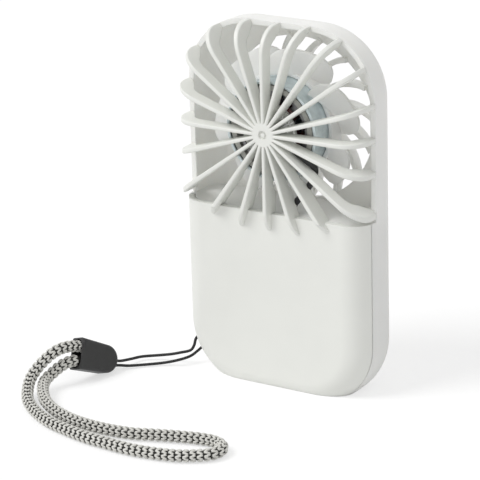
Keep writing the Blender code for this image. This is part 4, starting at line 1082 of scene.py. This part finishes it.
def front_cutters():
    """Holes for the socket, the key, the lamp, the lead and the cord."""
    sizes = housing()
    outer = front_face() + OVERRUN
    inner = front_face() - sizes.wall - EMBED
    slot = rounded(SOCKET_WIDTH + 2 * CLEARANCE, SOCKET_HEIGHT + 2 * CLEARANCE,
                   SOCKET_HEIGHT / 2 + CLEARANCE - SLOT_FLAT, (0.0, SOCKET_MIDDLE))
    steps = SMALL_STEPS - 1
    lead_hole = arc(*LEAD_SHELF, LEAD_DIAMETER / 2 + CLEARANCE, 0.0, turn(steps, SMALL_STEPS), steps)
    return [
        extruded(slot, -OVERRUN, sizes.wall + OVERRUN, 2),
        disc(BUTTON_RADIUS + CLEARANCE, inner, outer, z=BUTTON_HEIGHT, steps=ROUND_STEPS),
        disc(LAMP_RADIUS + CLEARANCE, inner, outer, z=LAMP_HEIGHT),
        extruded(lead_hole, sizes.shelf - SHELF_THICKNESS - OVERRUN, sizes.shelf + OVERRUN, 2),
        lanyard_hole(-1),
        lanyard_hole(1),
    ]


def front_cover():
    """Walls, base, shelf and swirl grille, moulded in one."""
    sizes = housing()
    start = -PARTING_DEPTH + SEAM
    wide = sizes.width / 2 + OVERRUN
    room = housing_body(start - OVERRUN, front_face() - sizes.wall, sizes.wall, sizes.wall)
    corners = ((-wide, sizes.shelf), (wide, sizes.shelf),
               (wide, sizes.height + OVERRUN), (-wide, sizes.height + OVERRUN))
    rim_cut = extruded(corners, start - OVERRUN, -RIM_DEPTH)
    opening = disc(grille().opening, front_face() - sizes.wall - OVERRUN, front_face() + OVERRUN,
                   z=sizes.hub, steps=2 * ROUND_STEPS)
    swirls = [swirl_body(SWIRL_TURN + turn(step, grille().ribs)) for step in range(grille().ribs)]
    bosses = [screw_boss(x, z) for x, z in SCREW_PLACES]
    return smooth(combined(
        "front_cover", housing_body(start, front_face()),
        ("DIFFERENCE", [room, rim_cut, opening]),
        ("UNION", swirls + bosses + [swirl_disc(), shelf_body()]),
        ("DIFFERENCE", front_cutters()),
    ))


# Impeller and motor

def blade_point(chord, span, face):
    """Point of a blade: chord from -1 rear to 1 front, span from 0 root to 1 tip, face -1 or 1."""
    sizes = impeller()
    swell = sqrt(1 - BLADE_PETAL_SHARE * chord ** 4)
    radius = sizes.root + (sizes.tip - sizes.root) * span * swell
    bearing = sizes.turn - chord * BLADE_HALF_ANGLE
    y = chord * sizes.half_depth + BLADE_CAMBER * (1 - chord ** 2)
    sweep = radius * BLADE_HALF_ANGLE
    reach = hypot(sweep, sizes.half_depth)
    taper = (1 - BLADE_TAPER_SHARE * chord ** 2) * sqrt(1 - BLADE_TIP_SHARE * span ** 6)
    half = face * sizes.thickness / 2 * taper
    y += half * sweep / reach
    bearing += half * sizes.half_depth / reach / radius
    return Vector((radius * cos(bearing), y, radius * sin(bearing)))


def blade_body(bearing):
    """One blade, as a closed section swept from its root to its tip."""
    chords = [2 * step / BLADE_CHORD_STEPS - 1 for step in range(BLADE_CHORD_STEPS + 1)]
    section = [(c, 1) for c in chords] + [(c, -1) for c in reversed(chords)]
    rings = []
    for step in range(BLADE_SPAN_STEPS + 1):
        span = step / BLADE_SPAN_STEPS
        rings.append([blade_point(chord, span, face) for chord, face in section])
    return about_hub(moved(loft(rings, bent=True), spun(-bearing, "Y")))


def sleeve_body():
    """Sleeve over the bell, closed by a cap with a boss for the shaft."""
    inner = CAN_RADIUS + BELL_GAP
    cap_rear = SLEEVE_FRONT - CAP_THICKNESS
    boss_rear = CAN_FRONT + CLEARANCE
    edge = round_edge(SLEEVE_RADIUS, SLEEVE_FRONT, SLEEVE_ROUND, -SLEEVE_ROUND)
    profile = [(0.0, SHAFT_FRONT + CLEARANCE), (0.0, SLEEVE_FRONT)] + edge + [
        (SLEEVE_RADIUS, SLEEVE_REAR), (inner, SLEEVE_REAR), (inner, cap_rear),
        (SHAFT_BOSS_RADIUS, cap_rear), (SHAFT_BOSS_RADIUS, boss_rear),
        (CAN_BORE, boss_rear), (CAN_BORE, SHAFT_FRONT + CLEARANCE),
    ]
    return about_hub(turned(profile))


def fan_wheel():
    """Sleeve with seven broad blades."""
    blades = [blade_body(turn(step, impeller().blades)) for step in range(impeller().blades)]
    return smooth(combined("fan_wheel", sleeve_body(), ("UNION", blades)), WIDE_SMOOTH_ANGLE)


def bell():
    """Steel bell that carries the magnet."""
    inner = CAN_RADIUS - CAN_WALL
    plate_rear = CAN_FRONT - CAN_WALL
    front = round_edge(CAN_RADIUS, CAN_FRONT, CAN_ROUND, -CAN_ROUND)[::-1]
    mouth = [(inner, CAN_REAR + EMBED), (inner + EMBED, CAN_REAR), (CAN_RADIUS - EMBED, CAN_REAR),
             (CAN_RADIUS, CAN_REAR + EMBED)]
    profile = [(CAN_BORE, plate_rear), (inner, plate_rear)] + mouth + front + [(CAN_BORE, CAN_FRONT)]
    return smooth(raw_object("rotor_bell", about_hub(turned(profile))))


def heading(points, place):
    """Direction of a line of points at one of them."""
    return (points[min(place + 1, len(points) - 1)] - points[max(place - 1, 0)]).normalized()


def swept(points, ups, half_across, half_up, sides):
    """Vertices and faces of a tube with an oval section, given its centreline and up directions."""
    vertices = []
    for place, (point, up) in enumerate(zip(points, ups)):
        along = heading(points, place)
        across = along.cross(up).normalized()
        lift = across.cross(along)
        for side in range(sides):
            a = turn(side, sides)
            vertices.append(point + across * half_across * cos(a) + lift * half_up * sin(a))
    last = (len(points) - 1) * sides
    faces = []
    for near in range(0, last, sides):
        for side in range(sides):
            after = (side + 1) % sides
            faces.append((near + side, near + after, near + sides + after, near + sides + side))
    return vertices, faces + [range(sides)[::-1], range(last, last + sides)]


class Bundle:
    """Vertices, faces and finish numbers gathered for one mesh."""

    def __init__(self):
        self.vertices = []
        self.faces = []
        self.kinds = []

    def take(self, vertices, faces, kind=0):
        """Add one closed body."""
        first = len(self.vertices)
        self.vertices += vertices
        self.faces += [[first + corner for corner in face] for face in faces]
        self.kinds += [kind] * len(faces)

    def made(self, name):
        """Object from everything gathered."""
        data = bpy.data.meshes.new(name)
        data.from_pydata(self.vertices, [], self.faces)
        data.polygons.foreach_set("material_index", self.kinds)
        data.shade_smooth()
        data.update()
        return linked(name, data)


def coil_path(layer):
    """Helix of one layer of wire round a pole that lies along X."""
    grow = WIRE_DIAMETER * (layer + 0.5)
    half_depth = (CORE_FRONT - CORE_REAR) / 2 + CLEARANCE + grow
    half_width = COIL_HALF_WIDTH + grow
    outline = rounded(2 * half_depth, 2 * half_width, min(half_width * COIL_ROUND_SHARE, CLEARANCE + grow),
                      ((CORE_REAR + CORE_FRONT) / 2, 0.0), COIL_CORNER_STEPS)
    start = COIL_START + WIRE_DIAMETER / 2
    pitch = (COIL_END_X - COIL_START - WIRE_DIAMETER) / WIRE_TURNS
    points = []
    for count in range(WIRE_TURNS):
        for step, (y, z) in enumerate(outline):
            points.append(Vector((start + pitch * (count + step / len(outline)), y, z)))
    return points


def coils():
    """Two layers of wire on each of the six poles."""
    bundle = Bundle()
    up = Vector((1.0, 0.0, 0.0))
    for pole in range(POLE_COUNT):
        lie = at(0, 0, housing().hub) @ spun(-POLE_TURN - turn(pole, POLE_COUNT), "Y")
        for layer in range(WIRE_LAYERS):
            path = coil_path(layer)
            half = WIRE_DIAMETER / 2
            vertices, faces = swept(path, [up] * len(path), half, half, WIRE_SIDES)
            bundle.take([lie @ vertex for vertex in vertices], faces)
    return bundle.made("motor_coils")


# Flexible runs

def smooth_point(points, share):
    """Point on the smooth curve through four route points."""
    before, first, second, after = points
    linear = (second - before) * share
    square = (before * 2 - first * 5 + second * 4 - after) * share ** 2
    cube = (first * 3 - before - second * 3 + after) * share ** 3
    return (first * 2 + linear + square + cube) / 2


def smooth_route(route, step):
    """Even steps along a smooth curve through the chosen points."""
    points = [Vector(point) * MM for point in route]
    points = [points[0] * 2 - points[1]] + points + [points[-1] * 2 - points[-2]]
    fine = []
    for place in range(1, len(points) - 2):
        for sample in range(CURVE_SAMPLES):
            fine.append(smooth_point(points[place - 1:place + 3], sample / CURVE_SAMPLES))
    fine.append(points[-2])
    travelled = [0.0]
    for near, far in zip(fine, fine[1:]):
        travelled.append(travelled[-1] + (far - near).length)
    count = max(2, round(travelled[-1] / step))
    result = []
    place = 0
    for mark in range(count):
        goal = travelled[-1] * mark / count
        while travelled[place + 1] < goal:
            place += 1
        share = (goal - travelled[place]) / (travelled[place + 1] - travelled[place])
        result.append(fine[place].lerp(fine[place + 1], share))
    return result + [fine[-1]]


def carried_sides(points):
    """Side direction at each point, carried along without twist."""
    side = heading(points, 0).cross(Vector((0.0, 0.0, 1.0)))
    sides = []
    for place in range(len(points)):
        along = heading(points, place)
        side = (side - along * side.dot(along)).normalized()
        sides.append((side.copy(), along.cross(side)))
    return sides


class Line:
    """Smooth route with a frame at any distance along it."""

    def __init__(self, route, step=LINE_STEP):
        self.points = smooth_route(route, step)
        self.sides = carried_sides(self.points)
        self.step = step

    def spot(self, distance, bearing, radius):
        """Point at a distance along, a bearing round and a radius out, and its outward direction."""
        share = min(max(distance / self.step, 0.0), len(self.points) - 1 - END_GUARD)
        place = int(share)
        share -= place
        centre = self.points[place].lerp(self.points[place + 1], share)
        side, up = self.sides[place]
        outward = side * cos(bearing) + up * sin(bearing)
        return centre + outward * radius, outward

    def length(self):
        """Length of the route."""
        return (len(self.points) - 1) * self.step


def yarn_leg(line, row, column, sign):
    """One leg of a stitch: it rises at the column's edge and dips again at the stitch's point."""
    sizes = strap()
    radius = sizes.diameter / 2
    half_up = sizes.yarn * YARN_FLATNESS
    column_angle = turn(1, sizes.columns)
    points = []
    ups = []
    for share in LEG_SHARES:
        along = (row + LEG_START + LEG_REACH * share) * sizes.stitch
        aside = sign * (LEG_EDGE - LEG_SLANT * share) * column_angle
        dip = sizes.yarn * (LEG_FIRST_DIP * (1 - share) ** 3 + LEG_LAST_DIP * share ** 4)
        point, outward = line.spot(along, column * column_angle + aside, radius - half_up - dip)
        points.append(point)
        ups.append(outward)
    return swept(points, ups, sizes.yarn / 2, half_up, YARN_SIDES)


def knitted_strap():
    """Knitted tube: columns of stitches over a dark core tube whose colour paints the shade in the gaps
    between the stitches.
    """
    line = Line(STRAP_ROUTE)
    sizes = strap()
    bundle = Bundle()
    rows = int(line.length() / sizes.stitch) - 1
    for row in range(rows):
        for column in range(sizes.columns):
            for sign in (-1, 1):
                bundle.take(*yarn_leg(line, row, column, sign), 0)
    # Dark tube under the stitches; its colour is painted shade for the gaps between them
    core = line.points[::3] + line.points[-1:]
    ups = [up for _, up in line.sides[::3]] + [line.sides[-1][1]]
    inner = sizes.diameter / 2 * SHADE_CORE_SHARE
    bundle.take(*swept(core, ups, inner, inner, SHADE_CORE_SIDES), 1)
    return bundle.made("knit_strap"), line


def tube(name, route, diameter, step, sides=CORD_SIDES):
    """Round tube along a route, with coordinates along and round it."""
    line = Line(route, step)
    bundle = Bundle()
    bundle.take(*swept(line.points, [up for _, up in line.sides], diameter / 2, diameter / 2, sides))
    item = bundle.made(name)
    chart = item.data.uv_layers.new(name="UVMap")
    for loop, target in zip(item.data.loops, chart.data):
        ring, side = divmod(loop.vertex_index, sides)
        target.uv = (ring * step / diameter, side / sides)
    return item, line


# Clip

def clip_matrix():
    """Place and lie of the clip: X along its length, Y across its width, Z out of its face."""
    upright = pi / 2
    return at(*CLIP_MOUTH) @ spun(CLIP_AZIMUTH, "Z") @ spun(CLIP_SLOPE, "Y") @ spun(upright - CLIP_ROLL, "X")


def clip_outline(inset):
    """Clip seen on its face: square mouth, slight taper and a round tip."""
    tip = CLIP_LENGTH - CLIP_TIP_RADIUS
    half = CLIP_MOUTH_WIDTH / 2 - inset
    quarter = pi / 2
    round_tip = arc(tip, 0.0, CLIP_TIP_RADIUS - inset, -quarter, quarter, CLIP_TIP_STEPS)
    return [(0.0, -half)] + round_tip + [(0.0, half)]


def clip_piece():
    """Clip with a pocket for both ends of the strap and a hole for the cord."""
    half = CLIP_THICKNESS / 2
    rounds = round_edge(half, 0.0, CLIP_ROUND, CLIP_ROUND)
    levels = [(-z, inset) for z, inset in reversed(rounds)] + rounds
    body = loft([[(x, y, z) for x, y in clip_outline(inset)] for z, inset in levels])
    hole = strap().diameter + 2 * CLEARANCE
    outline = rounded(2 * STRAP_OFFSET + hole, hole, hole / 2 * NEARLY_ROUND)
    pocket = extruded(outline, -OVERRUN, CLIP_POCKET_DEPTH, 0)
    slot_length = abs(CORD_PLACES[1] - CORD_PLACES[0]) + 2 * CORD_HOLE_RADIUS
    middle = (CORD_PLACES[0] + CORD_PLACES[1]) / 2
    slot = rounded(slot_length, 2 * CORD_HOLE_RADIUS, CORD_HOLE_RADIUS * NEARLY_ROUND, (middle, 0.0))
    cord_hole = extruded(slot, CLIP_LENGTH - CORD_HOLE_DEPTH, CLIP_LENGTH + OVERRUN, 0)
    piece = combined("clip_body", body, ("DIFFERENCE", [pocket, cord_hole]))
    piece.data.transform(clip_matrix())
    return smooth(piece, WIDE_SMOOTH_ANGLE)


# Operators

class PieceOperator:
    """Shared base of the operators."""

    bl_options = {"REGISTER", "UNDO"}

    def execute(self, context):
        """Make the pieces."""
        self.make()
        return {"FINISHED"}


class FAN_OT_camera(PieceOperator, Operator):
    """Add the camera at the photograph's viewing angle"""

    bl_idname = "fan.camera"
    bl_label = "Camera"

    def make(self):
        data = bpy.data.cameras.new("view")
        data.lens = stage_sizes().lens
        data.sensor_width = SENSOR_WIDTH
        camera = linked("view", data)
        tilt = spun(pi / 2 - CAMERA_PITCH, "X")
        camera.matrix_world = at(*CAMERA_PLACE) @ spun(CAMERA_YAW, "Z") @ tilt @ spun(CAMERA_ROLL, "Z")
        bpy.context.scene.camera = camera


class FAN_OT_strap(PieceOperator, Operator):
    """Make the knitted strap, the thin cord and the clip between them"""

    bl_idname = "fan.strap"
    bl_label = "Strap, cord and clip"

    def make(self):
        colours = finishes()
        clip = clip_piece()
        dress(clip, "case", "clip", moulded_finish("clip_plastic", colours.clip, 0.4, 0.52), "strap_clip")
        knit, line = knitted_strap()
        dress(knit, "case", "strap", yarn_finish(colours.yarn), "wrist_strap")
        # The strap's dark core colour is painted shade in the gaps between the stitches
        knit.data.materials.append(cast_finish("strap_core", colours.core, 0.95, 0.0))
        strap().diameter
        thin, route = tube("thin_cord", CORD_ROUTE, CORD_DIAMETER, LINE_STEP)
        dress(thin, "case", "cord", corded_finish(colours.cord), "lanyard_cord")


class FAN_OT_covers(PieceOperator, Operator):
    """Make the rear cover with its cage and the front cover with its swirl grille"""

    bl_idname = "fan.covers"
    bl_label = "Covers"

    def make(self):
        finish = moulded_finish("rear_plastic", finishes().rear, soft_edges=0.35 * MM)
        dress(rear_cover(), "case", "white_shell", finish, "rear_shell")
        finish = white_finish("front_plastic", finishes().front)
        dress(front_cover(), "case", "white_shell", finish, "front_shell")


class FAN_OT_wheel(PieceOperator, Operator):
    """Make the impeller"""

    bl_idname = "fan.wheel"
    bl_label = "Impeller"

    def make(self):
        finish = white_finish("blade_plastic", finishes().blade, 0.3, 0.42, 0.2 * MM)
        dress(fan_wheel(), "rotor", "white_blade", finish, "impeller")


class FAN_OT_motor(PieceOperator, Operator):
    """Make the bell and the windings, and finish the rest of the motor"""

    bl_idname = "fan.motor"
    bl_label = "Motor"

    def make(self):
        colours = finishes()
        steel = turned_finish("turned_steel", colours.steel, 0.28)
        dress(bell(), "rotor", "steel", turned_finish("plated_bell", srgb(214, 224, 227), 0.45), "rotor_can")
        nodes = [f"winding_{pole}" for pole in range(1, POLE_COUNT + 1)]
        dress(coils(), "case", "copper", enamel_finish(colours.wire), *nodes)
        lead, _ = tube("black_lead", LEAD_ROUTE, LEAD_DIAMETER, 2 * LINE_STEP, LEAD_SIDES)
        dress(lead, "case", "black_plastic", moulded_finish("lead_sleeve", srgb(26, 26, 28), 0.4, 0.6, 0.0),
              "motor_lead")
        repaint(steel, "motor_shaft")
        repaint(cast_finish("sintered_magnet", srgb(212, 212, 206), 0.5, 0.2), "magnet_ring")
        repaint(laminate_finish(srgb(150, 150, 152)), "stator_core")
        repaint(moulded_finish("insulator_plastic", srgb(222, 222, 216), 0.4, 0.55, 0.0), "stator_insulator")
        repaint(turned_finish("turned_brass", srgb(206, 176, 110), 0.32), "bearing_tube", "bearing_rear",
                "bearing_front")
        repaint(board_finish("ring_board", srgb(196, 198, 192)), "motor_board")


class FAN_OT_room(PieceOperator, Operator):
    """Finish the battery, the board and what is on it"""

    bl_idname = "fan.room"
    bl_label = "Battery room"

    def make(self):
        repaint(wrapper_finish(srgb(150, 153, 160)), "battery_cell")
        pad = raw_object("foam_block", pad_body())
        smooth(pad, PAD_SMOOTH_ANGLE)
        dress(pad, "case", "foam", foam_finish(srgb(52, 52, 52)), "battery_pad")
        repaint(board_finish("charge_board", srgb(26, 88, 56)), "main_board")
        steel = cast_finish("plated_steel", srgb(186, 186, 184), 0.3, 1.0, 2600.0)
        repaint(steel, "board_screw_1", "board_screw_2", "usb_port")
        black = moulded_finish("switch_plastic", srgb(32, 32, 34), 0.4, 0.55, 0.0)
        repaint(black, "tact_switch", "switch_plunger")
        repaint(lamp_finish(srgb(228, 232, 236)), "charge_lamp")


class FAN_OT_key(PieceOperator, Operator):
    """Make the power key"""

    bl_idname = "fan.key"
    bl_label = "Power key"

    def make(self):
        finish = white_finish("key_plastic", finishes().key, 0.3, 0.42, 0.15 * MM)
        dress(smooth(raw_object("power_key", key_body())), "button", "button", finish, "power_button")


class FAN_OT_stage(PieceOperator, Operator):
    """Add the pale floor and the soft light"""

    bl_idname = "fan.stage"
    bl_label = "Floor and light"

    def make(self):
        scene = bpy.context.scene
        scene.view_settings.view_transform = "Standard"
        add_floor()
        add_sky(scene)
        lamp = bpy.data.lights.new("key", "SUN")
        lamp.energy = stage_sizes().key
        lamp.angle = stage_sizes().softness
        linked("key", lamp).rotation_euler = LAMP_DIRECTION.to_track_quat("Z", "Y").to_euler()


def pad_body():
    """Foam pad with faces that swell between its edges."""
    low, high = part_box("battery_pad")
    middle = (low + high) / 2
    size = high - low
    rings = []
    for step in range(PAD_STEPS + 1):
        share = step / PAD_STEPS
        inset = PAD_SWELL * (2 * share - 1) ** 4
        outline = rounded(size.x - 2 * inset, size.z - 2 * inset, PAD_CORNER, (middle.x, middle.z))
        rings.append([(x, low.y + size.y * share, z) for x, z in outline])
    return loft(rings)


def key_body():
    """Key with a shallow dish, a flange behind the wall and a stem."""
    face = front_face() + BUTTON_PROUD
    rim = BUTTON_RADIUS - BUTTON_ROUND
    edge = round_edge(BUTTON_RADIUS, face, BUTTON_ROUND, -BUTTON_ROUND, KEY_EDGE_STEPS)[::-1]
    dish = [(rim * share, face - BUTTON_DISH * (1 - share ** 2)) for share in DISH_SHARES]
    profile = [
        (0.0, BUTTON_STEM_REAR), (BUTTON_STEM_RADIUS, BUTTON_STEM_REAR),
        (BUTTON_STEM_RADIUS, BUTTON_FLANGE_REAR), (BUTTON_RADIUS + BUTTON_FLANGE, BUTTON_FLANGE_REAR),
        (BUTTON_RADIUS + BUTTON_FLANGE, BUTTON_FLANGE_FRONT), (BUTTON_RADIUS, BUTTON_FLANGE_FRONT),
    ] + edge + dish + [(0.0, face - BUTTON_DISH)]
    return moved(turned(profile), at(0, 0, BUTTON_HEIGHT))


def add_floor():
    """Wide floor that looks white to the camera and keeps its shadows."""
    mesh = bmesh.new()
    bmesh.ops.create_grid(mesh, size=FLOOR_HALF_WIDTH)
    floor = raw_object("floor", mesh)
    level = (stage_sizes().floor,) * 3
    finish = Finish("pale_floor", level, 0.9, emission_strength=1.0, specular_ior_level=0.0)
    seen = finish.seen()
    finish.set("Base Color", finish.blend(seen, level, (stage_sizes().shade,) * 3))
    finish.set("Emission Color", finish.blend(seen, (0.0,) * 3, (stage_sizes().glow,) * 3))
    floor.data.materials.append(finish.material)


def add_sky(scene):
    """Even light all round, white to the camera and in reflections."""
    world = bpy.data.worlds.new("sky")
    scene.world = world
    world.use_nodes = True
    nodes = Nodes(world.node_tree)
    background = nodes.tree.nodes["Background"]
    background.inputs["Color"].default_value = (1.0, 1.0, 1.0, 1.0)
    light = stage_sizes().sky
    nodes.join(nodes.seen() * (1.0 - light) + light, background.inputs["Strength"])


class FAN_PT_pieces(Panel):
    """Buttons and settings of the pocket fan"""

    bl_label = "Pocket Fan"
    bl_idname = "FAN_PT_pieces"
    bl_space_type = "VIEW_3D"
    bl_region_type = "UI"
    bl_category = "Pocket Fan"

    def draw(self, context):
        for operator in OPERATORS:
            self.layout.operator(operator.bl_idname)
        for name, group in GROUPS.items():
            box = self.layout.box()
            box.label(text=group.__doc__)
            for key in group.__annotations__:
                box.prop(getattr(context.scene, name), key)


OPERATORS = (
    FAN_OT_camera, FAN_OT_strap, FAN_OT_covers, FAN_OT_wheel, FAN_OT_motor, FAN_OT_room, FAN_OT_key,
    FAN_OT_stage,
)


def register():
    """Register the classes and hang the settings on the scene."""
    for kind in (*GROUPS.values(), *OPERATORS, FAN_PT_pieces):
        bpy.utils.register_class(kind)
    for name, group in GROUPS.items():
        setattr(bpy.types.Scene, name, PointerProperty(type=group))


def unregister():
    """Take the settings and the classes away again."""
    for name in GROUPS:
        delattr(bpy.types.Scene, name)
    for kind in reversed((*GROUPS.values(), *OPERATORS, FAN_PT_pieces)):
        bpy.utils.unregister_class(kind)


def main():
    """Register the classes and make every piece."""
    register()
    for operator in OPERATORS:
        getattr(bpy.ops.fan, operator.bl_idname.split(".")[1])()


if __name__ == "__main__":
    main()
